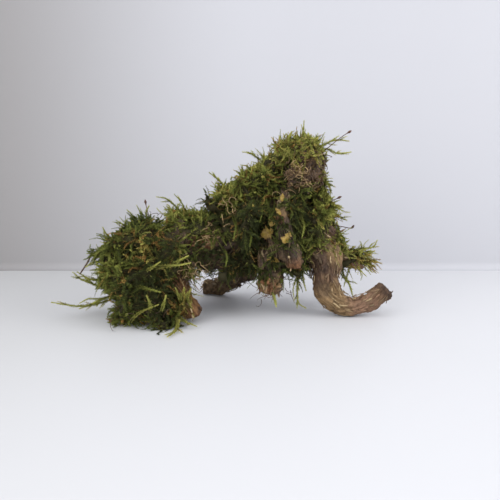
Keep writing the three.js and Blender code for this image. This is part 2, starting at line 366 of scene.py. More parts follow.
def dress(piece: bpy.types.Object, slot: str, *nodes: str) -> None:
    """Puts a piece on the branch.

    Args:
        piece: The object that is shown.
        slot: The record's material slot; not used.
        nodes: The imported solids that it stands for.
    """
    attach(piece, BODY)
    if nodes:
        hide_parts(*nodes)
    LOG.info("%s: %d faces for %s", piece.name, len(piece.data.polygons), ", ".join(nodes) or "itself")


class Socket:
    """A node's output, which takes Python's operators as nodes of the shader."""

    def __init__(self, tree: Tree, output: bpy.types.NodeSocket) -> None:
        """Keeps the output and the tree that it belongs to."""
        self.tree = tree
        self.output = output

    def _maths(self, operation: str, first: Any, second: Any) -> Socket:
        """Adds a Math node for two values."""
        return self.tree.node("ShaderNodeMath", {"operation": operation}, {0: first, 1: second})

    def __add__(self, other: Any) -> Socket:
        """Adds a value."""
        return self._maths("ADD", self, other)

    def __radd__(self, other: Any) -> Socket:
        """Adds this to a value."""
        return self._maths("ADD", other, self)

    def __sub__(self, other: Any) -> Socket:
        """Takes a value away."""
        return self._maths("SUBTRACT", self, other)

    def __rsub__(self, other: Any) -> Socket:
        """Takes this away from a value."""
        return self._maths("SUBTRACT", other, self)

    def __mul__(self, other: Any) -> Socket:
        """Multiplies by a value."""
        return self._maths("MULTIPLY", self, other)

    def __rmul__(self, other: Any) -> Socket:
        """Multiplies a value by this."""
        return self._maths("MULTIPLY", other, self)

    def over(self, low: float, high: float) -> Socket:
        """Rises smoothly from 0 where this is low to 1 where it is high."""
        settings = {"interpolation_type": "SMOOTHSTEP"}
        return self.tree.node("ShaderNodeMapRange", settings, {0: self, 1: low, 2: high, 3: 0.0, 4: 1.0})


class Tree:
    """The nodes of one material, which ends in a Principled shader."""

    def __init__(self, name: str) -> None:
        """Makes an empty material."""
        self.material = bpy.data.materials.new(name)
        self.material.use_nodes = True
        self.nodes = self.material.node_tree.nodes
        self.links = self.material.node_tree.links
        self.nodes.clear()

    def node(
        self,
        kind: str,
        settings: dict[str, Any] | None = None,
        inputs: dict[str | int, Any] | None = None,
        output: str | int = 0,
    ) -> Socket:
        """Adds any node.

        Args:
            kind: The node's type.
            settings: Its own settings, set first. stops are the places and colours of a ramp.
            inputs: Values or sockets for its inputs, by name or number.
            output: Which of its outputs is given back.

        Returns:
            That output.
        """
        made = self.nodes.new(kind)
        for key, value in (settings or {}).items():
            if key == "stops":
                stops = made.color_ramp.elements
                while len(stops) < len(value):
                    stops.new(0.5)
                for stop, (place, colour) in zip(stops, value, strict=True):
                    stop.position = place
                    stop.color = (*colour, 1.0)
            else:
                setattr(made, key, value)
        for key, value in (inputs or {}).items():
            if isinstance(value, Socket):
                self.links.new(value.output, made.inputs[key])
            elif isinstance(value, tuple) and len(value) == 3 and made.inputs[key].type == "RGBA":
                made.inputs[key].default_value = (*value, 1.0)
            else:
                made.inputs[key].default_value = value
        return Socket(self, made.outputs[output])

    def mix(self, share: Any, first: Any, second: Any, way: str = "MIX") -> Socket:
        """Mixes two colours.

        Args:
            share: How much of the second shows, from 0 to 1.
            first: A colour.
            second: Another.
            way: How the second lies over the first.

        Returns:
            The mixed colour.
        """
        settings = {"data_type": "RGBA", "blend_type": way}
        return self.node("ShaderNodeMix", settings, {0: share, 6: first, 7: second}, 2)

    def ramp(self, value: Socket, *stops: tuple[float, Colour]) -> Socket:
        """Reads a ramp of colours at a value."""
        return self.node("ShaderNodeValToRGB", {"stops": stops}, {0: value})

    def number(self, name: str) -> Socket:
        """Reads one of the numbers that a piece keeps for its finish."""
        return self.node("ShaderNodeAttribute", {"attribute_name": name}, None, "Fac")

    def place(self) -> Socket:
        """Reads the place on the piece, in metres."""
        return self.node("ShaderNodeTexCoord", None, None, "Object")

    def place_along(self) -> Socket:
        """Reads how far along the piece a place is, in metres."""
        return self.node("ShaderNodeSeparateXYZ", None, {0: self.place()})

    def grain(self, along: float, across: float) -> Socket:
        """Gives the place in the wood, stretched along its grain.

        Args:
            along: How many changes a millimetre has along the grain.
            across: How many it has across.

        Returns:
            A vector.
        """
        place = [self.number(name) for name in ("grain_x", "grain_y", "grain_z")]
        scaled = {0: place[0] * across, 1: place[1] * across, 2: place[2] * along}
        return self.node("ShaderNodeCombineXYZ", None, scaled)

    def noise(self, vector: Socket, scale: float, detail: float = 4.0, rough_share: float = 0.6) -> Socket:
        """Reads noise at a vector, from 0 to 1."""
        inputs = {"Vector": vector, "Scale": scale, "Detail": detail, "Roughness": rough_share}
        return self.node("ShaderNodeTexNoise", None, inputs)

    def bump(self, height: Socket, strength: float, distance: float) -> Socket:
        """Tilts the surface by a height, in metres at full height."""
        inputs = {"Strength": strength, "Distance": distance, "Height": height}
        return self.node("ShaderNodeBump", None, inputs)

    def finish(self, inputs: dict[str, Any], thin: tuple[float, Colour] | None = None) -> bpy.types.Material:
        """Ends the material.

        Args:
            inputs: Values or sockets for the shader.
            thin: For a leaf, how much light comes through it, and in which colour.

        Returns:
            The material.
        """
        shader = self.node("ShaderNodeBsdfPrincipled", None, inputs)
        if thin:
            share, colour = thin
            through = self.node("ShaderNodeBsdfTranslucent", None, {"Color": colour})
            shader = self.node("ShaderNodeMixShader", None, {0: share, 1: shader, 2: through})
        self.end(shader)
        return self.material

    def end(self, shader: Socket) -> None:
        """Joins the shader to the material's output."""
        made = self.nodes.new("ShaderNodeOutputMaterial")
        self.links.new(shader.output, made.inputs[0])


@dataclass(frozen=True)
class MossFinish:
    """Moss leaves, near black at the root, green in the middle and lighter at the tip. The dark root is
    partly the old stems' own colour and partly painted shade deep in the moss; the light tip is partly young
    growth and partly a painted highlight.

    Args:
        name: The material's name.
        root: The colour of a leaf's root, darkened partly as painted shade.
        deep: The tones' colours, from the darkest.
        green: The next.
        light: The next.
        straw: The next.
        rust: The last.
        tip_gain_with_highlight: How much brighter a leaf's tip is than its middle, partly a painted
            highlight.
        roughness: How dull the leaves are.
        specular: How much they shine.
        through: The colour of the light that comes through them.
        through_share: How much of it there is.
    """

    name: str
    root: Colour = from_screen(46, 42, 27)
    deep: Colour = from_screen(54, 65, 37)
    green: Colour = from_screen(104, 112, 50)
    light: Colour = from_screen(166, 166, 88)
    straw: Colour = from_screen(158, 126, 70)
    rust: Colour = from_screen(112, 78, 42)
    tip_gain_with_highlight: Colour = (1.55, 1.5, 1.45)
    roughness: float = 0.78
    specular: float = 0.14
    through: Colour = from_screen(150, 152, 80)
    through_share: float = 0.14

    def material(self) -> bpy.types.Material:
        """Makes the material, which reads tone and tip from the palette map."""
        tree = Tree(self.name)
        palette = tree.node("ShaderNodeUVMap", {"uv_map": PALETTE})
        tone = tree.node("ShaderNodeSeparateXYZ", None, {0: palette})
        tip = Socket(tree, tone.output.node.outputs[1])
        body = tree.ramp(
            tone,
            (0.0, darker(self.deep, 0.55)),
            (0.25, self.deep),
            (0.5, self.green),
            (0.78, self.light),
            (0.9, self.straw),
            (1.0, self.rust),
        )
        # Painted shade: leaves darken towards the root, where the shoots shade one another, over the old
        # stems' own darker colour.
        dark = tree.mix(tip.over(0.02, 0.5), self.root, body)
        # Partly painted highlight: the tips are brightened over the young growth's own lighter colour.
        bright = tree.mix(1.0, body, self.tip_gain_with_highlight, "MULTIPLY")
        colour = tree.mix(tip.over(0.45, 1.0), dark, bright)
        inputs = {"Base Color": colour, "Roughness": self.roughness, "Specular IOR Level": self.specular}
        return tree.finish(inputs, (self.through_share, self.through))


@dataclass(frozen=True)
class BarkFinish:
    """Fibrous bark or bare wood, which reads where it is golden, red, dark, pale or green.

    Args:
        name: The material's name.
        brown: Its plain colour.
        dark: The colour of its cracks and flecks.
        gold: Its colour where it is golden.
        red: Its colour where it is red.
        pale: Its colour where it is pale.
        green: Its colour where it is green.
        depth: How high its fibres stand, in metres.
        specular: How much it shines.
    """

    name: str
    brown: Colour = from_screen(92, 72, 54)
    dark: Colour = from_screen(44, 34, 27)
    gold: Colour = from_screen(150, 122, 84)
    red: Colour = from_screen(150, 116, 92)
    pale: Colour = from_screen(178, 156, 118)
    green: Colour = from_screen(70, 74, 30)
    depth: float = 0.00072
    specular: float = 0.3

    def material(self) -> bpy.types.Material:
        """Makes the material, whose grain runs along the limb."""
        tree = Tree(self.name)
        fine = tree.noise(tree.grain(0.16, 1.0), 1.6, 6.0, 0.7)
        broad = tree.noise(tree.grain(0.2, 0.5), 0.55, 3.0)
        flecks = tree.noise(tree.grain(0.6, 1.0), 3.4, 3.0, 0.65)
        worn = tree.noise(tree.grain(0.35, 0.5), 0.9, 4.0, 0.7)
        streaks = fine.over(0.34, 0.66)
        colour = tree.mix(streaks, self.dark, self.brown)
        colour = tree.mix(broad.over(0.42, 0.7) * 0.55, colour, tree.mix(streaks, self.brown, self.gold))
        for kind, base, share in (
            (Wood.GOLD, self.gold, 0.62),
            (Wood.RED, self.red, 0.66),
            (Wood.PALE, self.pale, 0.7),
        ):
            colour = tree.mix(tree.number(kind.value), colour, tree.mix(streaks, darker(base, share), base))
        colour = tree.mix(flecks.over(0.52, 0.68) * 0.6, colour, self.dark)
        colour = tree.mix(worn.over(0.5, 0.64) * 0.5, colour, self.dark)
        crack = tree.mix(streaks, darker(self.dark, 0.6), darker(self.dark, 1.3))
        colour = tree.mix(tree.number(Wood.DARK.value), colour, crack)
        greened = tree.number(Wood.GREEN.value) * broad.over(0.35, 0.6)
        inputs = {
            "Base Color": tree.mix(greened, colour, self.green),
            "Roughness": 0.5 + 0.35 * flecks,
            "Normal": tree.bump(fine * 0.7 + flecks * 0.3, 0.7, self.depth),
            "Specular IOR Level": self.specular,
        }
        return tree.finish(inputs)


@dataclass(frozen=True)
class ThinFinish:
    """Thin dry stuff: curls, crumbs, stalks and twigs, mottled between two colours.

    Args:
        name: The material's name.
        dark: The darker colour.
        light: The lighter one.
        grain: How fine the mottling is, in changes a metre.
        roughness: How dull it is.
        depth: How high its grain stands, in metres.
    """

    name: str
    dark: Colour
    light: Colour
    grain: float = 900.0
    roughness: float = 0.6
    depth: float = 0.0002

    def material(self) -> bpy.types.Material:
        """Makes the material."""
        tree = Tree(self.name)
        mottle = tree.noise(tree.place(), self.grain, 5.0, 0.62)
        broad = tree.noise(tree.place(), self.grain / 6, 2.0)
        share = mottle.over(0.36, 0.64) * 0.6 + broad.over(0.4, 0.6) * 0.4
        colour = tree.mix(share, self.dark, self.light)
        normal = tree.bump(mottle, 0.5, self.depth)
        return tree.finish({"Base Color": colour, "Roughness": self.roughness, "Normal": normal})


@dataclass(frozen=True)
class LeafFinish:
    """A dry leaf: mustard, mottled with brown, and browner at its edge and along its midrib.

    Args:
        name: The material's name.
        mustard: Its main colour.
        straw: The colour that the main one shades into.
        brown: The colour of its spots and its worn parts.
        through: How much light comes through it.
        roughness: How dull it is.
        depth: How high its wrinkles stand, in metres.
    """

    name: str
    mustard: Colour = from_screen(160, 134, 46)
    straw: Colour = from_screen(172, 144, 76)
    brown: Colour = from_screen(96, 68, 34)
    through: float = 0.2
    roughness: float = 0.6
    depth: float = 0.0003

    def material(self) -> bpy.types.Material:
        """Makes the material."""
        tree = Tree(self.name)
        broad = tree.noise(tree.place(), 320.0, 3.0)
        fine = tree.noise(tree.place(), 1500.0, 4.0, 0.65)
        colour = tree.mix(broad.over(0.38, 0.62), self.mustard, self.straw)
        colour = tree.mix(fine.over(0.5, 0.66) * 0.65, colour, self.brown)
        colour = tree.mix(tree.number("worn") * broad.over(0.25, 0.6), colour, self.brown)
        normal = tree.bump(fine, 0.6, self.depth)
        inputs = {"Base Color": colour, "Roughness": self.roughness, "Normal": normal}
        return tree.finish(inputs, (self.through, self.mustard))


@dataclass
class Shoots:
    """Feathery moss shoots, grown many at a time into one piece.

    Args:
        into: The piece's faces.
        rng: The piece's own dice.
        ranks: How many leaves stand round the stem at each joint.
        turn: How far the leaves turn from one joint to the next, in radians.
        lean: How far the leaves lean off the stem at its root, in radians.
        closing: How much less they do at its tip.
        half: A leaf's half width, as a share of its length.
        fold: How deep it is folded, as a share of its length.
        curl: How far its tip bends out, and back, as shares of its length.
        stem_step: How many joints apart the stem's own rings are.
    """

    into: Faces
    rng: np.random.Generator
    ranks: int = 3
    turn: float = 2.4
    lean: float = 0.78
    closing: float = 0.36
    half: float = 0.34
    fold: float = 0.1
    curl: tuple[float, float] = (0.3, 0.12)
    stem_step: int = 5

    def along(self, lines: Array, widths: Array, tones: Array, tips: Array | None = None) -> None:
        """Grows one shoot along each line.

        Args:
            lines: Points of the stems, shoot by shoot, from root to tip.
            widths: How long the leaves are at the middle of each shoot.
            tones: Each shoot's tone, from dark green to straw.
            tips: How light each shoot is at its tip, where that isn't 1, which also scales its painted
                highlight.
        """
        rng = self.rng
        shoots, joints = lines.shape[:2]
        each = (shoots, joints, self.ranks)
        tangents = unit(np.gradient(lines, axis=1))
        any_way = rng.normal(size=(shoots, 1, 3))
        side = unit(np.cross(tangents, np.broadcast_to(any_way, tangents.shape)))
        up = np.cross(tangents, side)
        share = np.linspace(0, 1, joints)
        tips = np.ones(shoots) if tips is None else tips
        self._stems(lines, side, up, widths, tones, tips)
        ranks = np.arange(self.ranks)[None, None] * math.tau / self.ranks
        turn = np.arange(joints)[None, :, None] * self.turn + ranks + rng.normal(0, 0.35, each)
        across, upward = side[:, :, None], up[:, :, None]
        radial = np.cos(turn)[..., None] * across + np.sin(turn)[..., None] * upward
        around = -np.sin(turn)[..., None] * across + np.cos(turn)[..., None] * upward
        lean = (self.lean - self.closing * share**2)[None, :, None] + rng.normal(0, 0.16, each)
        away = np.cos(lean)[..., None] * tangents[:, :, None] + np.sin(lean)[..., None] * radial
        swell = 0.6 + 0.45 * np.sin(math.pi * np.minimum(share * 0.85 + 0.2, 1))
        size = (widths[:, None, None] * swell[None, :, None] * rng.uniform(0.75, 1.25, each))[..., None]
        base = lines[:, :, None] + radial * 0.08
        waist = base + away * size * 0.42
        fold = unit(np.cross(away, around)) * size * self.fold
        left, right = (waist + way * around * size * self.half + fold for way in (1, -1))
        out, back = self.curl
        point = base + away * size + (radial * out - tangents[:, :, None] * back) * size
        leaves = np.stack((base, left, point, right), axis=3).reshape(-1, 3)
        tone = tones[:, None, None] + rng.normal(0, 0.035, each)
        tone = np.stack((tone - 0.012, tone + 0.012, tone, tone - 0.012), axis=3)
        # Tip values rise from the root to the tip and from a leaf's base to its point: partly the young
        # growth's lighter colour, partly painted shade deep in the shoots and a painted highlight on the
        # points.
        lit = np.broadcast_to((0.12 + 0.62 * share**0.8)[None, :, None] * tips[:, None, None], each)
        tip = np.stack((lit - 0.1, lit + 0.05, lit + 0.26, lit + 0.05), axis=3)
        self.into.add(leaves, blades(math.prod(each)), tone=tone.ravel(), tip=tip.ravel())

    def _stems(self, lines: Array, side: Array, up: Array, widths: Array, tones: Array, tips: Array) -> None:
        """Adds a three-sided stem to each shoot.

        Args:
            lines: Points of the stems.
            side: Across each stem at each point.
            up: Across it the other way.
            widths: The leaves' length, which the stem's own width follows.
            tones: Each shoot's tone.
            tips: How light each shoot is at its tip.
        """
        shoots, joints = lines.shape[:2]
        picks = np.unique(np.append(np.arange(0, joints, self.stem_step), joints - 1))
        share, rings = np.linspace(0, 1, joints)[picks], len(picks)
        radius = widths[:, None, None] * (0.2 - 0.1 * share)[None, :, None]
        corners = []
        for turn in (0, math.tau / 3, math.tau * 2 / 3):
            out = math.cos(turn) * side[:, picks] + math.sin(turn) * up[:, picks]
            corners.append(lines[:, picks] + radius * out)
        points = np.stack(corners, axis=2).reshape(-1, 3)
        rows = ring_walls(rings, 3)[None] + np.arange(shoots)[:, None, None] * rings * 3
        # The stems darken towards the root, partly as painted shade.
        tip = np.repeat((share * 0.45)[None] * tips[:, None], 3)
        tone = tones[:, None, None] + 0.12 + np.array((-0.01, 0, 0.01)) + np.zeros((1, rings, 1))
        self.into.add(points, rows.reshape(-1, 4), tone=tone.ravel(), tip=tip)


@dataclass(frozen=True)
class Patch:
    """A round stretch of the moss that differs from the rest.

    Args:
        at: Its middle, in plan millimetres.
        reach: How far it goes.
        tone: The tone that shoots take in its middle.
        long: How long they are there, as a share of their usual length.
    """

    at: Place
    reach: float
    tone: float
    long: float = 1.0

    def share(self, points: Array) -> Array:
        """Gives how much of the patch is felt at each point, 1 in its middle and less further off."""
        near = distances(points, self.at) / self.reach
        return np.exp(-(near**2) * 1.4)


# How far a patch's own tone takes over in its middle.
PATCH_STRENGTH = 0.8
# A patch with a tone over this holds dead moss.
DEAD_TONE = 0.82

# Where the moss is darker, lighter or browner than the rest.
PATCHES = (
    Patch((-88, -24, 14), 16, 0.60, 0.5),
    Patch((-80, -34, 30), 14, 0.58, 0.8),
    Patch((-70, -38, 6), 15, 0.44, 0.6),
    Patch((-84, -28, 4), 12, 0.46, 0.45),
    Patch((-90, -10, 42), 13, 0.6, 0.35),
    Patch((-56, -38, 24), 20, 0.12, 0.9),
    Patch((-60, -30, 46), 12, 0.96, 0.9),
    Patch((-50, -26, 48), 9, 0.96, 0.9),
    Patch((-66, -36, 30), 10, 0.26, 0.9),
    Patch((-76, -30, 46), 9, 0.64),
    Patch((-34, -14, 60), 11, 0.56),
    Patch((-34, -22, 52), 7, 0.88, 0.8),
    Patch((-26, -20, 62), 6, 0.86, 0.8),
    Patch((-18, -14, 74), 10, 0.6),
    Patch((-10, -22, 66), 6, 0.84, 0.9),
    Patch((2, -20, 60), 17, 0.16),
    Patch((-4, -20, 42), 17, 0.2, 0.8),
    Patch((-2, -22, 34), 7, 0.62, 0.8),
    Patch((10, -20, 44), 12, 0.2, 0.8),
    Patch((14, -16, 82), 8, 0.22, 0.9),
    Patch((0, -18, 78), 8, 0.3, 0.9),
    Patch((-6, -14, 84), 12, 0.66),
    Patch((10, -10, 96), 9, 0.7),
    Patch((20, -12, 98), 10, 0.66),
    Patch((30, 0, 112), 12, 0.79),
    Patch((21, -8, 106), 7, 0.8, 0.9),
    Patch((39, -8, 105), 7, 0.8, 0.9),
    Patch((40, -8, 84), 8, 0.8, 0.8),
    Patch((46, -8, 70), 11, 0.66, 0.8),
    Patch((45, -13, 56), 11, 0.94, 0.7),
    Patch((50, 0, 78), 13, 0.7, 0.5),
    Patch((48, 0, 96), 10, 0.7, 0.6),
    Patch((56, 0, 64), 9, 0.74),
    Patch((70, 0, 36), 16, 0.74),
    Patch((34, -20, 52), 13, 0.3),
)


def rounded_skin(source: bpy.types.Object) -> tuple[Array, Array, Array]:
    """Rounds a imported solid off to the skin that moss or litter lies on.

    Args:
        source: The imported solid, which stays as it is.

    Returns:
        The skin's points, its faces and which way is out at each point.
    """
    copy = place_in_scene("skin", source.data.copy())
    grid = copy.modifiers.new("grid", "REMESH")
    grid.mode = "VOXEL"
    grid.voxel_size = 1.5 * MM
    ease = copy.modifiers.new("ease", "SMOOTH")
    ease.factor = 0.5
    ease.iterations = 4
    seen = copy.evaluated_get(bpy.context.evaluated_depsgraph_get())
    mesh = seen.to_mesh()
    points = to_plan(np.array([v.co for v in mesh.vertices]))
    ways = np.array([v.normal for v in mesh.vertices])
    faces = np.array([tuple(f.vertices) for f in mesh.polygons if len(f.vertices) == 4])
    seen.to_mesh_clear()
    bpy.data.objects.remove(copy)
    return points, faces, ways


def on_bare(lines: Array) -> Array:
    """Tells which lines, or faces, have a point in a place that is kept bare."""
    hit = np.zeros(len(lines), bool)
    for middle, reach in BARE:
        hit |= (distances(lines, middle) < reach).any(axis=1)
    return hit


@dataclass
class Clump:
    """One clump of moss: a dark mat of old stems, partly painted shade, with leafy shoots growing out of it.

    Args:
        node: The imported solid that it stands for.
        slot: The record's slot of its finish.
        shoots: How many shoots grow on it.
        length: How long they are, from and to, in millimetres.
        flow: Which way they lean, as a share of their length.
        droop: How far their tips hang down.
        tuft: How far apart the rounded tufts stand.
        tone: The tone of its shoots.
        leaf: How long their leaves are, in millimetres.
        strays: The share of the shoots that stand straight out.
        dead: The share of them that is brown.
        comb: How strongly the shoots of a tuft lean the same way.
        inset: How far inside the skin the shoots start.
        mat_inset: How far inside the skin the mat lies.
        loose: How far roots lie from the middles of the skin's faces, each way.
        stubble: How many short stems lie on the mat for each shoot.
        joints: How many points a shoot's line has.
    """

    node: str
    slot: str
    shoots: int
    length: tuple[float, float]
    flow: Place
    droop: float
    tuft: float
    tone: float
    leaf: float
    strays: float = 0.07
    dead: float = 0.05
    comb: float = 0.5
    inset: float = 3.2
    mat_inset: float = 3.5
    loose: float = 0.8
    stubble: int = 5
    joints: int = 15

    def build(self, ground: Ground, finish: bpy.types.Material, seed: int) -> bpy.types.Object:
        """Builds the clump.

        Args:
            ground: What the moss grows among.
            finish: The moss material.
            seed: Which of many like clumps is grown.

        Returns:
            The piece.
        """
        rng = np.random.default_rng(seed)
        made = Faces()
        skin, faces, ways = rounded_skin(ground.frame["nodes"][self.node])
        self._mat(made, skin, faces, ways)
        middles, outs = skin[faces].mean(axis=1), unit(ways[faces].mean(axis=1))
        clear = ground.is_open(middles, outs, self.node)
        self._grow(made, *self._spots(middles[clear], outs[clear], self.shoots, rng), rng)
        self._stubble(made, *self._spots(middles, outs, self.shoots * self.stubble, rng), rng)
        piece = made.piece(f"{self.node}_leafy", finish)
        dress(piece, self.slot, self.node)
        return piece

    def _spots(
        self, middles: Array, outs: Array, count: int, rng: np.random.Generator
    ) -> tuple[Array, Array]:
        """Picks places on the skin.

        Args:
            middles: The middles of the skin's faces.
            outs: Which way is out at each.
            count: How many places are picked.
            rng: The clump's own dice.

        Returns:
            The places, and which way is out at each.
        """
        picks = rng.integers(0, len(middles), count)
        return middles[picks] + rng.uniform(-self.loose, self.loose, (count, 3)), outs[picks]

    def _mat(self, made: Faces, skin: Array, faces: Array, ways: Array) -> None:
        """Adds the dark, uneven body of old stems under the shoots, whose darkness is partly painted shade
        deep in the moss.

        Args:
            made: The piece's faces.
            skin: The skin's points.
            faces: Its faces.
            ways: Which way is out at each point.
        """
        uneven = rough(skin, 0.35) * 1.0 + rough(skin, 0.9, 7.0) * 0.5
        sunk = skin + ways * (uneven - self.mat_inset)[:, None]
        tone = 0.5 + 0.3 * rough(skin, 0.12, 3.0)
        # The low tip values paint the mat in the dark root colour, partly as painted shade.
        made.add(sunk, faces[~on_bare(skin[faces])], tone=tone, tip=0.06 + 0.05 * rough(skin, 0.5, 5.0))

    def _stubble(self, made: Faces, roots: Array, ways: Array, rng: np.random.Generator) -> None:
        """Covers the mat in short dark stems and dead leaves, lying every way.

        Args:
            made: The piece's faces.
            roots: Places on the skin.
            ways: Which way is out at each.
            rng: The clump's own dice.
        """
        count = len(roots)
        aim = unit(rng.normal(size=(count, 3)) + ways * 0.35)
        side = unit(np.cross(aim, rng.normal(size=(count, 3)))) * rng.uniform(0.12, 0.3, (count, 1))
        long = rng.uniform(1.5, 4.5, (count, 1))
        start = roots - ways * rng.uniform(1.6, 3.6, (count, 1))
        middle = start + aim * long * 0.55 + ways * 0.4
        points = np.stack((start, middle - side, start + aim * long, middle + side), axis=1).reshape(-1, 3)
        tone = np.repeat(rng.choice((0.2, 0.5, 0.68, 0.9, 0.97), count, p=(0.2, 0.3, 0.2, 0.16, 0.14)), 4)
        tip = np.tile((0.08, 0.2, 0.34, 0.22), count) + np.repeat(rng.uniform(0, 0.12, count), 4)
        made.add(points, blades(count), tone=tone + np.tile((0, -0.01, 0, 0.01), count), tip=tip)

    def _grow(self, made: Faces, roots: Array, ways: Array, rng: np.random.Generator) -> None:
        """Grows the shoots in rounded tufts.

        Args:
            made: The piece's faces.
            roots: Places on the skin.
            ways: Which way is out at each.
            rng: The clump's own dice.
        """
        count, shape = len(roots), roots.shape
        tufts = spaced(roots, self.tuft, rng)
        gap = roots[:, None] - tufts[None]
        nearest = np.argmin(np.linalg.norm(gap, axis=2), axis=1)
        off = gap[np.arange(count), nearest] / self.tuft
        edge = np.clip(np.linalg.norm(off, axis=1), 0, 1.2)
        combed = unit(rng.normal(size=tufts.shape))[nearest] * self.comb
        lean = np.array(self.flow) + off * 0.5 + combed + rng.normal(0, 0.36, shape)
        lean = unit(lean - ways * np.sum(lean * ways, axis=1, keepdims=True))
        stray = rng.random(count) < self.strays
        rise = np.where(stray, 1.0, rng.uniform(0.22, 0.6, count) * (1 - 0.3 * edge))
        aim = unit(ways * rise[:, None] + lean * 0.9)
        long = rng.uniform(*self.length, count) * rng.uniform(0.75, 1.1, len(tufts))[nearest]
        long = long * moss_lengths(roots)
        start = roots - ways * (self.inset * np.where(stray, 0.8, 1.0) + 1.2 * edge**2)[:, None]
        sag = np.cross(aim, rng.normal(0, 0.26, shape)) * long[:, None]
        sag[:, 2] -= self.droop * long * rng.uniform(0.4, 1.4, count)
        tones = moss_tones(roots, self.tone) + rng.normal(0, 0.07, count)
        tones = tones + rng.normal(0, 0.06, len(tufts))[nearest]
        brown = rng.random(count) < self.dead
        tones = np.where(brown, rng.uniform(0.86, 0.98, count), np.clip(tones, 0.02, 0.96))
        share = np.linspace(0.06, 1, self.joints)[None, :, None]
        reach = long[:, None, None]
        sway = np.cross(aim, rng.normal(0, 0.05, shape))[:, None] * np.sin(share * math.tau) * reach
        lines = start[:, None] + aim[:, None] * reach * share + sag[:, None] * share**2 + sway
        keep = ~on_bare(lines)
        widths = self.leaf * rng.uniform(0.8, 1.2, count)
        # Darker-toned shoots get darker tips too, painted shade that deepens the dark patches.
        tips = rng.uniform(0.8, 1.1, count) * np.clip(0.3 + 1.3 * tones, 0.4, 1)
        Shoots(made, rng).along(lines[keep], widths[keep], tones[keep], tips[keep])


def spaced(points: Array, gap: float, rng: np.random.Generator) -> Array:
    """Picks points that stand at least a gap apart.

    Args:
        points: What is picked from.
        gap: The least distance.
        rng: The dice that choose the order.

    Returns:
        The picked points.
    """
    kept: list[Array] = []
    for point in points[rng.permutation(len(points))]:
        if not kept or np.min(np.linalg.norm(np.array(kept) - point, axis=1)) > gap:
            kept.append(point)
    return np.array(kept)


def moss_lengths(points: Array) -> Array:
    """Gives how long the moss is at each place, as a share of its usual length."""
    long = np.ones(len(points))
    for patch in PATCHES:
        long = long + (patch.long - long) * patch.share(points)
    return long


def moss_tones(points: Array, usual: float) -> Array:
    """Gives the tone of the moss at each place, which strays a little from its usual one.

    Patches of dead moss would pass through every tone between if they were blended in, so there a
    share of the shoots is dead and the others keep their own tone.
    """
    tone = usual + 0.16 * rough(points, 0.09, 11.0) + 0.08 * rough(points, 0.28, 2.0)
    for patch in PATCHES:
        share = patch.share(points) * PATCH_STRENGTH
        if patch.tone > DEAD_TONE:
            share = (0.5 + rough(points, 2.7, 31.0) < share).astype(float)
        tone = tone + (patch.tone - tone) * share
    return tone


# Places that moss shoots keep off, so that the bark, litter and leaves there show: a middle and a reach.
BARE = (
    ((19.5, -31, 69), 3.6),
    ((17.5, -31, 62), 3.0),
    ((21.5, -33, 54), 3.2),
    ((25, -31, 40), 4.4),
    ((26, -27, 34), 5.4),
    ((10.5, -34, 53), 4.4),
    ((14, -32, 60), 2.6),
    ((13.5, -33, 37), 3.5),
    ((-27, -20, 51), 4.2),
    ((-23, -20, 46), 2.6),
    ((12.5, -26, 21), 6.0),
    ((13, -24, 28), 5.4),
    ((25, -15, 25), 6.0),
    ((12.5, -26, 15), 8.0),
    ((46, -16, 36), 7.0),
    ((46, -18, 26), 9.5),
    ((-98.6, -13, 39.0), 2.2),
    ((-93.0, -11, 40.6), 2.2),
    ((-102.5, -14, 32.0), 2.2),
    ((35, -20, 90), 5.0),
    ((28, -20, 90), 5.4),
    ((24, -21, 87), 4.2),
    ((24.5, -20, 94), 3.8),
    ((31, -19, 96), 4.6),
    ((38, -17, 88), 4.6),
    ((33, -20, 83), 3.6),
    ((-33, -38, 8), 6.5),
    ((-34, -31, 16), 5.6),
    ((-14, 30, 12), 12.0),
    ((-25, 4, 24), 6.5),
    ((-24, 14, 22), 7.5),
    ((-12, 10, 20), 8.0),
    ((-18, 0, 20), 9.0),
    ((-4, 2, 21), 7.0),
)


@dataclass
class Ground:
    """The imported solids, as the moss grows among them.

    Args:
        frame: What the frame holds.
        trees: The solids that bury moss, by name, made ready for rays.
    """

    frame: dict[str, Any]
    trees: dict[str, BVHTree] = field(default_factory=dict)

    def __post_init__(self) -> None:
        """Reads every solid but the thin ones."""
        for name, node in self.frame["nodes"].items():
            if not name.startswith(("shoot_", "stalk_", "dry_")):
                points = to_plan(np.array([v.co for v in node.data.vertices]))
                faces = [tuple(f.vertices) for f in node.data.polygons]
                self.trees[name] = BVHTree.FromPolygons(points.tolist(), faces)

    def is_open(self, points: Array, ways: Array, node: str) -> Array:
        """Tells which places of a node's skin aren't buried under another solid or on the floor.

        Args:
            points: Places on the skin.
            ways: Which way is out at each.
            node: The node's own name.

        Returns:
            One true or false a place.
        """
        floor_height, facing_down, cover = 2.5, -0.6, 4.0
        others = [tree for name, tree in self.trees.items() if name != node]
        clear = ~((points[:, 2] < floor_height) & (ways[:, 2] < facing_down))
        for i in np.flatnonzero(clear):
            start, way = Vector(points[i]), Vector(ways[i])
            hits = (tree.ray_cast(start + way * 0.1, way, cover)[0] for tree in others)
            clear[i] = all(hit is None for hit in hits)
        return clear


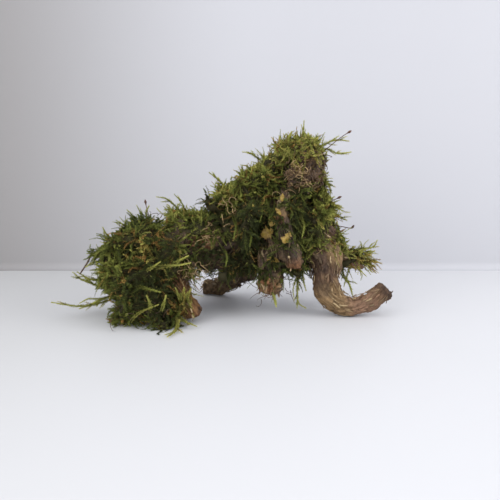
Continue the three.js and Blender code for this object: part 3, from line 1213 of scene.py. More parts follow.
@dataclass
class Sprig:
    """One long leafy shoot that reaches past its clump, with small shoots along its sides.

    Args:
        node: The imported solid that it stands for.
        points: Its route, from root to tip.
        leaf: How long its leaves are, in millimetres.
        tone: Its tone.
        sprigs: How many small shoots it has.
    """

    node: str
    points: Sequence[Place]
    leaf: float = 1.35
    tone: float = 0.72
    sprigs: int = 4

    def build(self, finish: bpy.types.Material, seed: int) -> bpy.types.Object:
        """Builds the shoot.

        Args:
            finish: The moss material.
            seed: Which of many like shoots is grown.

        Returns:
            The piece.
        """
        rng = np.random.default_rng(seed)
        made = Faces()
        route = Route(self.points, 0.5)
        Shoots(made, rng, ranks=4).along(route.centres[None], np.array([self.leaf]), np.array([self.tone]))
        for k in range(self.sprigs):
            at = int(len(route.centres) * (0.15 + 0.7 * (k + rng.random() * 0.6) / self.sprigs))
            out = route.outward(k * 2.6 + rng.normal(0, 0.4), at)
            aim = unit(route.tangents[at] * 0.8 + out)
            long = rng.uniform(3.0, 6.0)
            share = np.linspace(0.05, 1, max(5, round(long / 0.7)))[:, None]
            line = route.centres[at] + aim * long * share + route.tangents[at] * 0.25 * long * share**2
            tone = np.array([self.tone + rng.normal(0, 0.05)])
            Shoots(made, rng).along(line[None], np.array([self.leaf * 0.8]), tone)
        piece = made.piece(f"{self.node}_leafy", finish)
        dress(piece, "light_moss", self.node)
        return piece


SPRIGS = (
    Sprig("shoot_left_low", [
        [-84, -14, 12], [-96, -16, 8.5], [-106, -18, 7.6], [-114.5, -19, 9], [-121.5, -20, 10.5],
    ], tone=0.74),
    Sprig("shoot_left_floor", [[-84, -10, 13], [-96, -8, 9], [-103, -6, 5.5], [-110, -6, 3]]),
    Sprig("shoot_left_middle", [
        [-90, -11, 17], [-98.5, -14, 21], [-106, -14, 24.5], [-110, -14, 28],
    ], tone=0.7),
    Sprig("shoot_left_upper", [[-90, -6, 22], [-103, -4, 22], [-111, -4, 26.5]]),
    Sprig("shoot_left_shoulder", [[-78, -4, 53], [-88, -4, 48], [-92, -5, 49], [-92.4, -6, 53]], 1.2, 0.6, 3),
    Sprig("shoot_left_crest", [[-72, -4, 56], [-80.5, -6, 57.6], [-84, -7, 60]], 1.15, 0.6, 3),
    Sprig("shoot_left_tip", [[-65, 0, 52], [-70, 0, 63.5], [-72.5, 0, 69]], 1.15, 0.62, 3),
    Sprig("shoot_saddle_long", [
        [-40, 4, 58], [-50, 2, 70.5], [-54.5, 0, 73.8], [-59, -2, 74.6],
    ], 1.3, 0.66, 4),
    Sprig("shoot_saddle_short", [[-39, 2, 58], [-44.5, 2, 71.5], [-48.5, 2, 76]], 1.2, 0.6, 3),
    Sprig("shoot_shoulder", [[-15, 4, 80], [-21, 4, 86], [-26, 4, 90]], 1.3, 0.66, 3),
    Sprig("shoot_ridge", [[12, 4, 94], [4, 4, 100], [0, 4, 102.6], [-4.5, 4, 103.2]], 1.3, 0.68, 4),
    Sprig("shoot_crown_top", [[30, 4, 102], [33.8, 4, 115], [34.3, 4, 122.5]], 1.25, 0.72, 4),
    Sprig("shoot_crown_long", [[42, 2, 104], [51, 2, 109.6], [56.7, 0, 110.3], [62, 0, 109.6]], 1.3, 0.76, 4),
    Sprig("shoot_crown_curl", [
        [42, 4, 101], [50, 4, 105], [55, 4, 102.6], [60.5, 6, 102.6], [65.6, 8, 103.6],
    ], 1.2, 0.74, 4),
    Sprig("shoot_crown_drop", [[43, 4, 89], [49, 4, 85.5], [51.8, 4, 80.5], [52, 4, 75]], 1.3, 0.74, 4),
    Sprig("shoot_flank_upper", [[42, 4, 69], [52, 2, 70], [60, 2, 67.5]], 1.35, 0.74, 4),
    Sprig("shoot_flank_lower", [[46, 4, 61], [56, 4, 62], [63, 4, 59.5]], 1.35, 0.72, 4),
    Sprig("shoot_spur_long", [
        [66, 3, 39], [72, 2, 41], [77, 0, 41.6], [80.5, 0, 43], [82.3, 0, 46.5],
    ], 1.3, 0.74, 4),
    Sprig("shoot_spur_tip", [[74, 3, 33], [79, 4, 30], [83, 4, 28.6]], 1.3, 0.7, 3),
    Sprig("shoot_spur_hanging", [[62, 5, 32], [62, 6, 24.5], [66.5, 6, 16.5], [69, 6, 8.5]], 1.3, 0.7, 4),
    Sprig("shoot_middle_hanging", [
        [30, -5, 32], [30.5, -8, 23], [30, -9, 14.5], [31, -10, 7.5], [35, -12, 5],
    ], 1.4, 0.74, 5),
    Sprig("shoot_fallen", [[-43, -32, 6], [-41, -44, 1.9], [-42, -53, 1.6], [-43.5, -59, 1.6]], 1.2, 0.76, 4),
    Sprig("shoot_back_low", [[-2, 30, 30], [6, 40, 22], [10, 46, 13], [11, 50, 4]]),
    Sprig("shoot_back_left", [[-60, 8, 36], [-62, 20, 38], [-66, 28, 34], [-68, 33, 28]]),
    Sprig("shoot_back_right", [[28, 28, 64], [30, 38, 66], [35, 44, 62]]),
)


@dataclass(frozen=True)
class Veil:
    """A thin veil of short shoots that hangs over bark or litter.

    Args:
        tone: The tone of the shoots.
        middle: The middle of the place that they grow on.
        reach: How far from it they grow.
        count: How many there are.
    """

    tone: float
    middle: Place
    reach: float
    count: int

    def grow(self, made: Faces, rng: np.random.Generator) -> None:
        """Grows the veil into a piece, with the piece's own dice."""
        count = self.count
        spread = (self.reach, self.reach * 0.25, self.reach)
        roots = np.array(self.middle) + rng.normal(0, 0.5, (count, 3)) * spread
        aim = unit(np.array((0.0, -0.35, -0.15)) + rng.normal(0, 0.6, (count, 3)) * (1, 0.4, 1))
        long = rng.uniform(4, 9, (count, 1, 1))
        share = np.linspace(0, 1, 11)[None, :, None]
        sag = rng.normal(0, 0.25, (count, 1, 3)) - np.array((0, -0.12, 0.25))
        lines = roots[:, None] + (aim[:, None] * share + sag * share**2) * long
        tones = self.tone + rng.normal(0, 0.08, count)
        # Darker veils get darker tips too, as painted shade.
        tips = rng.uniform(0.7, 1.0, count) * min(1.0, 0.4 + self.tone)
        Shoots(made, rng).along(lines, rng.uniform(0.8, 1.1, count), tones, tips)


@dataclass
class LooseShoots:
    """Bright single shoots that lie over the clumps or have fallen beside them, grown as one piece.

    Args:
        name: The piece's name.
        leaf: How long the shoots' leaves are, in millimetres.
    """

    name: str = "loose_shoots"
    leaf: float = 1.2

    def build(self, finish: bpy.types.Material, seed: int) -> bpy.types.Object:
        """Builds the shoots.

        Args:
            finish: The moss material.
            seed: Which of many like sets is grown.

        Returns:
            The piece.
        """
        rng = np.random.default_rng(seed)
        made = Faces()
        for tone, points in LOOSE:
            leaf = np.array([self.leaf * rng.uniform(0.85, 1.15)])
            Shoots(made, rng, ranks=4).along(Route(points, 0.5).centres[None], leaf, np.array([tone]))
        for veil in VEILS:
            veil.grow(made, rng)
        piece = made.piece(self.name, finish)
        dress(piece, "light_moss")
        return piece


# Each loose shoot's tone and its route from root to tip.
LOOSE = (
    (0.76, ((-52.7, -38, 35.3), (-45.9, -41, 36.4), (-39.3, -40, 36.8), (-34.1, -37, 37.5))),
    (0.74, ((-44.2, -38, 36.5), (-39.3, -40, 39.6), (-35.0, -38, 41.6))),
    (0.76, ((-58.5, -40, 33.4), (-53.9, -43, 36.2), (-50.1, -42, 38.8))),
    (0.58, ((-63.4, -42, 25.2), (-56.6, -45, 24.1), (-50.3, -43, 22.0))),
    (0.76, ((-68.0, -42, 4.5), (-62.3, -46, 10.2), (-55.3, -47, 13.9), (-51.2, -45, 15.1))),
    (0.7, ((-56.0, -44, 10.8), (-55.2, -47, 16.1), (-57.0, -46, 20.4))),
    (0.7, ((-49.9, -44, 10.8), (-47.5, -47, 16.7), (-46.7, -45, 20.2))),
    (0.78, ((-39.5, -33, 14.3), (-38.4, -36, 19.5), (-37.8, -37, 23.0))),
    (0.74, ((-37.2, -33, 14.3), (-35.5, -36, 19.5), (-33.9, -36, 22.2))),
    (0.72, ((-40.5, -32, 13.3), (-41.0, -37, 18.5), (-42.4, -38, 23.2))),
    (0.76, ((-42.5, -38, 5.7), (-40.5, -44, 3.9), (-42.1, -48, 1.5))),
    (0.74, ((-41.7, -36, 6.3), (-36.5, -40, 3.9), (-30.6, -42, 2.1))),
    (0.76, ((41.4, 2, 64.9), (47.5, 0, 68.2), (55.0, -1, 69.5), (58.2, -1, 68.9))),
    (0.74, ((42.8, 2, 62.3), (48.9, 0, 64.4), (56.6, 0, 62.4))),
    (0.74, ((42.8, 2, 59.7), (50.2, 0, 59.9), (54.2, 0, 56.0))),
    (0.76, ((62.4, 3, 38.7), (69.0, 0, 35.1), (75.4, -1, 30.0), (79.4, -1, 26.1))),
    (0.74, ((62.4, 3, 36.1), (67.1, 0, 32.5), (73.2, 0, 25.9), (75.9, 0, 23.3))),
    (0.72, ((58.1, 4, 31.9), (60.1, 3, 24.1), (65.6, 3, 17.3), (67.7, 3, 10.6))),
    (0.72, ((66.1, 4, 29.9), (64.1, 3, 22.7), (62.3, 3, 16.0))),
    (0.74, ((29.1, -8, 33.7), (29.7, -10, 25.7), (27.2, -11, 16.3), (27.7, -12, 11.4))),
    (0.74, ((33.8, -6, 32.1), (33.7, -8, 23.4), (35.7, -8, 15.6))),
    (0.68, ((13.4, -22, 17.4), (15.3, -20, 12.0), (16.1, -18, 7.7))),
    (0.78, ((21.0, -6, 103.5), (19.0, -8, 108.1), (17.8, -8, 111.7))),
    (0.76, ((24.6, -8, 105.7), (23.8, -9, 110.4), (25.1, -8, 114.1))),
    (0.78, ((34.9, -4, 103.7), (36.4, -6, 108.3), (35.8, -6, 112.6))),
    (0.76, ((38.9, -2, 102.6), (41.7, -4, 106.1), (44.1, -4, 109.8))),
    (0.72, ((-90.5, -14, 34.6), (-96.0, -16, 34.9), (-101.1, -16, 31.8))),
    (0.72, ((-85.7, -20, 14.5), (-92.4, -22, 13.1), (-98.5, -22, 13.1), (-103.5, -22, 10.6))),
    (0.68, ((-85.0, -10, 47.9), (-89.2, -12, 51.9), (-90.9, -12, 55.6))),
    (0.66, ((-63.1, -6, 58.9), (-65.5, -6, 64.6), (-63.5, -6, 69.0))),
    (0.66, ((-72.1, -8, 59.1), (-74.4, -8, 64.1), (-76.8, -8, 66.5))),
    (0.5, ((-10.6, -24, 64.7), (-8.2, -28, 57.9), (-9.4, -28, 50.9))),
    (0.48, ((-2.4, -24, 60.0), (0.6, -28, 53.2), (0.0, -28, 46.2))),
    (0.5, ((-16.8, -22, 45.5), (-13.7, -25, 39.9), (-14.4, -24, 33.7))),
    (0.52, ((3.6, -22, 72.9), (7.0, -26, 67.1), (5.8, -27, 60.2))),
    (0.6, ((29.7, -22, 64.6), (31.7, -26, 57.8), (30.6, -26, 50.7))),
)

VEILS = (
    Veil(0.4, (19, -28, 47), 4, 18),
    Veil(0.34, (20, -27, 60), 4, 18),
    Veil(0.4, (20, -27, 71), 3, 10),
    Veil(0.4, (15, -25, 66), 4, 14),
    Veil(0.44, (24, -21, 69), 4, 16),
    Veil(0.4, (27, -26, 50), 4, 16),
    Veil(0.3, (13, -22, 34), 5, 24),
    Veil(0.42, (7, -20, 28), 4, 18),
    Veil(0.44, (19, -20, 27), 4, 16),
    Veil(0.74, (26, -17, 100), 5, 20),
    Veil(0.78, (36, -16, 101), 5, 26),
    Veil(0.66, (43, -12, 88), 4, 14),
    Veil(0.5, (33, -17, 76), 5, 18),
    Veil(0.6, (40, -15, 46), 6, 34),
    Veil(0.76, (51, -11, 44), 5, 18),
    Veil(0.24, (-32, -21, 42), 6, 32),
    Veil(0.22, (-21, -19, 40), 6, 26),
    Veil(0.5, (-33, -24, 33), 5, 22),
    Veil(0.52, (-19, -19, 53), 5, 20),
    Veil(0.62, (-41, -29, 15), 4, 16),
    Veil(0.76, (-38, -31, 17), 3, 18),
    Veil(0.88, (-40, -31, 9), 4, 12),
    Veil(0.26, (-62, -39, 29), 6, 24),
    Veil(0.3, (-48, -30, 42), 6, 22),
    Veil(0.4, (38, -20, 52), 5, 18),
)

CLUMPS = (
    Clump("left_moss", "olive_moss", 1260, (8, 13), (-0.05, -0.1, -0.1), 0.2, 10, 0.44, 1.08),
    Clump("body_moss", "deep_moss", 1220, (7, 12), (0.0, 0.0, -0.4), 0.2, 9, 0.27, 1.0),
    Clump("saddle_moss", "olive_moss", 680, (7, 12), (-0.2, 0.0, 0.1), 0.15, 9, 0.54, 1.05),
    Clump("ridge_moss", "olive_moss", 720, (7, 11), (-0.1, 0.0, 0.1), 0.1, 8, 0.6, 1.0),
    Clump("crown_moss", "light_moss", 620, (6, 11), (0.05, 0.0, 0.12), 0.1, 8, 0.62, 1.05),
    Clump("right_flank_moss", "olive_moss", 580, (6, 12), (0.18, 0.0, -0.12), 0.2, 9, 0.58, 1.08),
    Clump("spur_moss", "light_moss", 66, (8, 14), (0.7, 0.0, -0.1), 0.25, 7, 0.8, 1.1, strays=0.2, dead=0.0),
)


@dataclass
class Flakes:
    """Slivers of bark and crumbs, each bent and with a thickness of its own.

    Args:
        into: The piece's faces.
        rng: The piece's own dice.
        samples: How many points a flake has along it.
        thick: Half its thickness.
    """

    into: Faces
    rng: np.random.Generator
    samples: int = 5
    thick: float = 0.16

    def lay(
        self,
        at: Array,
        way: Array,
        along: Array | None,
        size: tuple[float, float],
        look: int,
        **numbers: float,
    ) -> None:
        """Lays one flake.

        Args:
            at: Where it lies.
            way: Which way is out there.
            along: Which way it points, or None for any.
            size: How long it is, from and to.
            look: Which of the piece's materials it takes.
            numbers: Values for the finish.
        """
        rng = self.rng
        aim = rng.normal(size=3) if along is None else along + rng.normal(0, 0.3, 3)
        side = unit(aim - way * np.dot(aim, way))
        front = np.cross(way, side)
        long, wide = rng.uniform(*size), rng.uniform(0.5, 1.4)
        share = np.linspace(-1, 1, self.samples)
        rise = rng.uniform(-0.2, 0.9) * share**2 + rng.uniform(-0.4, 0.4) * share
        line = at + side * (share * long / 2)[:, None] + way * rise[:, None]
        half = (wide * (1 - 0.6 * share**2) * rng.uniform(0.7, 1.2, self.samples))[:, None] * front / 2
        top = way * self.thick
        points = np.stack(
            (line + half + top, line + half - top, line - half - top, line - half + top), axis=1
        )
        last = 4 * (self.samples - 1)
        ends = np.array(((3, 2, 1, 0), (last, last + 1, last + 2, last + 3)))
        self.into.add(points.reshape(-1, 3), ring_walls(self.samples, 4), ends, look=look, **numbers)


@dataclass
class Limb:
    """One limb of the branch: twisted, fibrous bark over a round bar that follows its route.

    Args:
        node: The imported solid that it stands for.
        slot: The record's slot of its finish.
        points: Its route, each point x, y, z and radius.
        ridge: How high its fibres stand, as a share of its radius.
        lump: How uneven it is at a larger scale.
        strands: How many loose fibres lie on it.
        flakes: How many flakes of bark lie on it.
        tints: Patches of another colour: what it is, its middle, reach and strength.
        sides: How many sides its section has.
        twist: How far its grain turns, in radians a millimetre.
        round_off: How far from its ends it starts to narrow.
    """

    node: str
    slot: str
    points: Sequence[Sequence[float]]
    ridge: float
    lump: float
    strands: int
    flakes: int
    tints: tuple[tuple[Wood, Place, float, float], ...] = ()
    sides: int = 56
    twist: float = 0.03
    round_off: float = 1.3

    def build(self, finish: bpy.types.Material, seed: int) -> bpy.types.Object:
        """Builds the limb.

        Args:
            finish: The bark material.
            seed: Which of many like limbs is made.

        Returns:
            The piece.
        """
        rng = np.random.default_rng(seed)
        made = Faces()
        route = Route(self.points, 0.7)
        self._bark(made, route, seed)
        self._fibres(made, route, rng)
        self._scales(made, route, rng)
        piece = made.piece(f"{self.node}_bark", finish)
        dress(piece, self.slot, self.node)
        return piece

    def _numbers(self, points: Array, grain: Array) -> dict[str, Array]:
        """Works out what the finish reads at each point.

        Args:
            points: Places on the limb.
            grain: Their places in the straightened wood.

        Returns:
            The numbers by name.
        """
        numbers = {"grain_x": grain[:, 0], "grain_y": grain[:, 1], "grain_z": grain[:, 2]}
        numbers |= {kind.value: np.zeros(len(points)) for kind in Wood}
        for tint, middle, reach, strength in self.tints:
            edge = distances(points, middle) / reach + 0.25 * rough(points, 0.4, 9.0)
            value = strength * (1 - smooth(edge, 0.55, 1.1))
            numbers[tint.value] = np.maximum(numbers[tint.value], value)
        return numbers

    def _bark(self, made: Faces, route: Route, seed: int) -> None:
        """Adds the limb's skin and its ends.

        Args:
            made: The piece's faces.
            route: The limb's middle line.
            seed: Which of many like limbs is made.
        """
        sides, rings = self.sides, len(route.centres)
        turned = np.linspace(0, math.tau, sides, endpoint=False)[None] + self.twist * route.along[:, None]
        wide, along = route.radii[:, None], np.broadcast_to(route.along[:, None], turned.shape)
        grain = np.stack((np.cos(turned) * wide, np.sin(turned) * wide, along), axis=-1)
        grain = grain.reshape(-1, 3) + seed * 17.0
        radius = np.repeat(route.radii, sides)
        flat = grain * (0.9, 0.9, 0.09)
        fibres = rough(flat, 0.8) + 0.6 * rough(flat, 1.7, 3.0)
        cracks = smooth(np.abs(rough(flat * (1, 1, 0.7), 1.0, 21.0)), 0.0, 0.1) - 1
        coarse = rough(grain * (1, 1, 0.5), 0.2, 5.0) + 0.35 * rough(grain, 0.5, 6.0)
        grooves = self.ridge * np.minimum(radius, 7) * (fibres + 0.9 * cracks)
        height = radius * (1 + self.lump * coarse) + grooves
        end = np.minimum(route.along, route.length - route.along)
        height = height * np.repeat(np.sqrt(np.clip(0.5 + end / self.round_off / 2, 0, 1)), sides)
        skin = np.repeat(route.centres, sides, axis=0) + route.rings(sides).reshape(-1, 3) * height[:, None]
        made.add(skin, ring_walls(rings, sides), **self._numbers(skin, grain))
        self._end(made, -route.tangents[0], skin[:sides], False)
        self._end(made, route.tangents[-1], skin[-sides:], True)

    def _end(self, made: Faces, way: Array, rim: Array, at_tip: bool) -> None:
        """Closes an end of the limb with a broken, splintered face.

        Args:
            made: The piece's faces.
            way: Which way the end faces.
            rim: The last ring of the skin.
            at_tip: Whether it is the limb's tip, whose rings run the other way round.
        """
        shares = (1.0, 0.9, 0.75, 0.55, 0.35, 0.15)
        centre, n = rim.mean(axis=0), len(rim)
        points = np.vstack((*(centre + (rim - centre) * share for share in shares), centre[None]))
        depth = 1.3 * rough(points, 0.7, 4.0) + 0.9 * rough(points, 1.6, 8.0) - 0.5
        depth[:n] = 0
        points = points + way * depth[:, None]
        walls, hub = ring_walls(len(shares), n), fan((len(shares) - 1) * n, n, len(points) - 1)
        if not at_tip:
            walls, hub = walls[:, [0, 3, 2, 1]], hub[:, ::-1]
        made.add(points, walls, hub, **self._numbers(points, points))

    def _scales(self, made: Faces, route: Route, rng: np.random.Generator) -> None:
        """Lays flakes of bark on the limb, most of them along its grain.

        Args:
            made: The piece's faces.
            route: The limb's middle line.
            rng: The limb's own dice.
        """
        laid = Flakes(made, rng)
        for at in rng.integers(1, len(route.centres) - 1, self.flakes):
            way = route.outward(rng.uniform(0, math.tau), at)
            spot = route.centres[at] + way * (route.radii[at] * rng.uniform(0.98, 1.14) + 0.2)
            numbers = {name: value[0] for name, value in self._numbers(spot[None], spot[None]).items()}
            numbers[Wood.PALE.value] = max(numbers[Wood.PALE.value], rng.choice((0.0, 0.0, 0.3, 0.85)))
            numbers[Wood.DARK.value] *= rng.choice((0.0, 1.0))
            laid.lay(spot, way, route.tangents[at], (1.5, 5.5), 0, **numbers)

    def _fibres(self, made: Faces, route: Route, rng: np.random.Generator) -> None:
        """Lays loose fibres along the bark.

        Args:
            made: The piece's faces.
            route: The limb's middle line.
            rng: The limb's own dice.
        """
        samples = len(route.centres)
        for _ in range(self.strands):
            long = int(rng.uniform(8, 26))
            first = int(rng.integers(0, max(1, samples - long)))
            span = np.arange(first, min(first + long, samples), 2)
            if len(span) < 4:
                continue
            share = np.linspace(0, 1, len(span))
            turn = rng.uniform(0, math.tau) - self.twist * route.along[span] + rng.normal(0, 0.15) * share
            lift = 1.0 + 0.06 * np.sin(share * math.pi)
            radius = route.radii[span] * lift * rng.uniform(0.97, 1.06) + 0.25
            strand = Route(route.centres[span] + route.outward(turn, span) * radius[:, None], 1.2)
            thick = rng.uniform(0.16, 0.42) * np.sin(np.linspace(0.25, math.pi - 0.2, len(strand.centres)))
            numbers = self._numbers(strand.centres, strand.centres * (1, 1, 0.3))
            numbers[Wood.PALE.value] = np.maximum(numbers[Wood.PALE.value], rng.choice((0.0, 0.0, 0.35, 0.6)))
            made.tube(strand, thick, 4, **numbers)


LIMBS = (
    Limb("main_stem", "bark", [
        [-76, -13, 13, 8], [-68, -12, 27, 10], [-54, -8, 38, 12.5], [-38, -2, 43, 13.2],
        [-22, 0, 44.5, 13.4], [-6, 2, 51, 13.8], [10, 4, 62, 13.5],
    ], 0.2, 0.6, 190, 320, (
        (Wood.DARK, (-34, -16, 30), 9, 0.7),
        (Wood.DARK, (-14, -16, 42), 9, 0.7),
        (Wood.RED, (-28, -16, 49), 9, 0.9),
        (Wood.PALE, (-25, -16, 54), 4, 0.7),
    ), 56),
    Limb("peak_limb", "bark", [
        [8, 4, 60, 13], [19, 5, 76, 11.5], [27, 5, 90, 9.5], [32, 5, 103, 7],
    ], 0.1, 0.2, 20, 40),
    Limb("right_leg", "old_bark", [
        [18, 3, 63, 11], [32, 1, 57, 11.5], [44, -3, 46, 10.8], [48, -7, 35, 9.4], [47.8, -10, 22, 7.8],
        [52, -12, 11.6, 7.3], [62.5, -12.5, 6.2, 6.1], [74, -13.5, 9.2, 5.2], [81.3, -15, 14.6, 5.0],
        [85.2, -15.3, 18.2, 5.9],
    ], 0.12, 0.36, 90, 210, (
        (Wood.GOLD, (54, -14, 40), 9, 0.75),
        (Wood.GOLD, (50, -18, 12), 13, 0.8),
        (Wood.GOLD, (58, -18, 6), 9, 0.7),
        (Wood.RED, (71, -14, 9), 13, 0.75),
        (Wood.DARK, (42, -17, 34), 9, 0.65),
        (Wood.DARK, (45, -17, 19), 7, 0.5),
        (Wood.DARK, (46.3, -16, 31), 3.4, 0.95),
        (Wood.DARK, (86.0, -15.8, 18.6), 7.5, 0.85),
        (Wood.DARK, (67, -19, 8), 1.6, 0.9),
        (Wood.PALE, (40, -16, 38), 3, 0.6),
    ), 80),
    Limb("side_spur", "old_bark", [
        [50, -2, 39, 6], [60, 0, 34.5, 4.2], [68, 1, 31, 2.8], [74, 1, 28.5, 1.6],
    ], 0.14, 0.5, 8, 20, (
        (Wood.RED, (68, 1, 31), 10, 0.6),
    ), 32),
    Limb("back_leg", "bark", [
        [2, 10, 38, 9], [-1, 22, 27, 8], [-8, 33, 18.5, 7], [-18, 43, 10, 6.3], [-28, 50, 5.3, 6.2],
        [-35, 53, 5.2, 5.4],
    ], 0.18, 0.5, 50, 90, (
        # The gold and pale patches lighten the leg, which lies in shade, as painted light.
        (Wood.GREEN, (-16, 38, 18), 10, 0.8),
        (Wood.GOLD, (-24, 42, 6), 16, 0.5),
        (Wood.PALE, (-12, 26, 18), 8, 0.4),
    )),
    Limb("middle_stub", "bark", [
        [14, -5, 50, 8], [13.5, -11, 37, 7.2], [13, -14, 27, 6.6], [12.5, -14.5, 20, 7.2],
        [12, -15, 14.6, 5.6],
    ], 0.24, 0.85, 60, 230, (
        (Wood.RED, (9, -22, 20), 9, 0.75),
        (Wood.GOLD, (16, -22, 24), 8, 0.75),
        (Wood.PALE, (9, -22, 16), 4, 0.5),
        (Wood.DARK, (13, -20, 28), 6, 0.75),
    )),
    Limb("front_root", "bark", [
        [22, -14, 78, 2.6], [19, -21, 65, 2.9], [21, -24, 53, 3.7], [24, -23, 42, 5.0],
        [25.5, -20, 32.5, 4.4],
    ], 0.26, 0.9, 80, 130, (
        (Wood.GOLD, (20, -27, 68), 5, 0.7),
        (Wood.RED, (17, -27, 62), 3.5, 0.6),
        (Wood.DARK, (21, -28, 54), 7, 0.6),
        (Wood.RED, (26, -27, 33), 7, 0.6),
        (Wood.DARK, (24, -27, 39), 5, 0.7),
        (Wood.DARK, (23, -27, 46), 5, 0.7),
    ), 40),
    Limb("left_foot", "red_bark", [
        [-52, -13, 33, 7], [-45, -20, 23, 5.6], [-38.5, -26, 13.2, 3.8], [-34.6, -28, 7.8, 5.4],
        [-33.2, -28.5, 3.6, 4.4],
    ], 0.14, 0.5, 30, 60, (
        (Wood.GOLD, (-39, -30, 13), 6, 0.7),
        (Wood.GREEN, (-42, -28, 12), 8, 0.9),
        (Wood.DARK, (-30, -31, 8), 2.4, 0.9),
        (Wood.DARK, (-35, -32, 1), 4, 0.6),
    ), 40),
)


@dataclass
class Curls:
    """Curled rootlets and loose fibres, scattered about a place.

    Args:
        into: The piece's faces.
        rng: The piece's own dice.
    """

    into: Faces
    rng: np.random.Generator

    def scatter(
        self,
        middle: Place,
        spread: Place,
        count: int,
        size: tuple[float, float],
        thick: float,
        look: int,
        hang: float = 0.0,
    ) -> None:
        """Scatters curls.

        Args:
            middle: The middle of the place.
            spread: How far they lie from it, each way.
            count: How many there are.
            size: How long they are, from and to.
            thick: Their radius.
            look: Which of the piece's materials they take.
            hang: How far they hang down, as a share of their length.
        """
        rng = self.rng
        share = np.linspace(0, 1, 7)
        for _ in range(count):
            start = np.array(middle) + rng.normal(0, 0.5, 3) * spread
            way = unit(rng.normal(size=3))
            bend = unit(np.cross(way, rng.normal(size=3)))
            long = rng.uniform(*size)
            curl = rng.uniform(1.0, 4.2)
            radius, turn = long / curl, share[:, None] * curl
            line = start + way * radius * np.sin(turn) + bend * radius * (1 - np.cos(turn))
            line[:, 2] -= hang * long * share
            route = Route(line, 0.9)
            self.into.tube(route, thick * (1 - 0.55 * np.linspace(0, 1, len(route.centres))), 5, look)


# The curls in the crown's litter: middle, spread, count, length from and to, radius and look.
LITTER_CURLS = (
    ((31, -17, 84), (10, 4, 9), 26, (4, 9), 0.22, 1),
    ((33, -12, 93), (11, 6, 14), 120, (3, 7), 0.2, 0),
    ((25, -19.5, 89), (4, 2, 7), 46, (3, 7), 0.24, 0),
    ((29, -21, 89), (5, 2, 5), 16, (4, 8), 0.26, 1),
)

# The fibres and hairs elsewhere, in the same order, with how far they hang where they do.
ROOTLET_CURLS = (
    ((-36, -25, 30), (8, 4, 9), 40, (5, 10), 0.24, 1),
    ((-36, -24, 29), (8, 4, 9), 24, (5, 10), 0.3, 0),
    ((-26, -17, 54), (5, 3, 10), 16, (5, 11), 0.28, 1),
    ((-14, -20, 66), (7, 3, 5), 12, (4, 9), 0.26, 1),
    ((-14, 24, 22), (22, 12, 8), 30, (8, 18), 0.3, 0, 0.5),
    ((44, -7, 97), (5, 4, 8), 14, (5, 9), 0.28, 0),
    ((14, -18, 16), (10, 4, 5), 12, (5, 9), 0.22, 0, 0.3),
    ((40, -14, 44), (6, 3, 12), 14, (4, 9), 0.26, 1),
    ((-60, -40, 10), (20, 6, 10), 20, (5, 12), 0.22, 0),
    ((-62, 2, 60), (14, 12, 5), 10, (7, 12), 0.24, 0),
)


@dataclass
class Litter:
    """The crown's brown litter: a crumbly body with pale curled rootlets and flakes of bark on it.

    Args:
        node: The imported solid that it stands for.
        flakes: How many flakes lie on it.
        pale_share: The share of them in the pale finish.
    """

    node: str = "root_litter"
    flakes: int = 520
    pale_share: float = 0.12

    def build(
        self, ground: Ground, dark: bpy.types.Material, pale: bpy.types.Material, seed: int
    ) -> bpy.types.Object:
        """Builds the litter.

        Args:
            ground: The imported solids.
            dark: The finish of the crumbs.
            pale: The finish of the rootlets.
            seed: Which of many like litters is made.

        Returns:
            The piece.
        """
        rng = np.random.default_rng(seed)
        made = Faces()
        skin, faces, ways = rounded_skin(ground.frame["nodes"][self.node])
        bumps = 2.6 * rough(skin, 0.2, 2.0) + 1.4 * rough(skin, 0.55) + 0.8 * rough(skin, 1.3, 4.0)
        made.add(skin + ways * (bumps - 1.6)[:, None], faces)
        middles, outs = skin[faces].mean(axis=1), unit(ways[faces].mean(axis=1))
        laid = Flakes(made, rng)
        for i in rng.integers(0, len(middles), self.flakes):
            spot = middles[i] + outs[i] * rng.uniform(-0.4, 1.8)
            laid.lay(spot, outs[i], None, (1.5, 5.0), int(rng.random() < self.pale_share))
        for row in LITTER_CURLS:
            Curls(made, rng).scatter(*row)
        piece = made.piece(f"{self.node}_crumbs", dark, pale)
        dress(piece, "litter", self.node)
        return piece


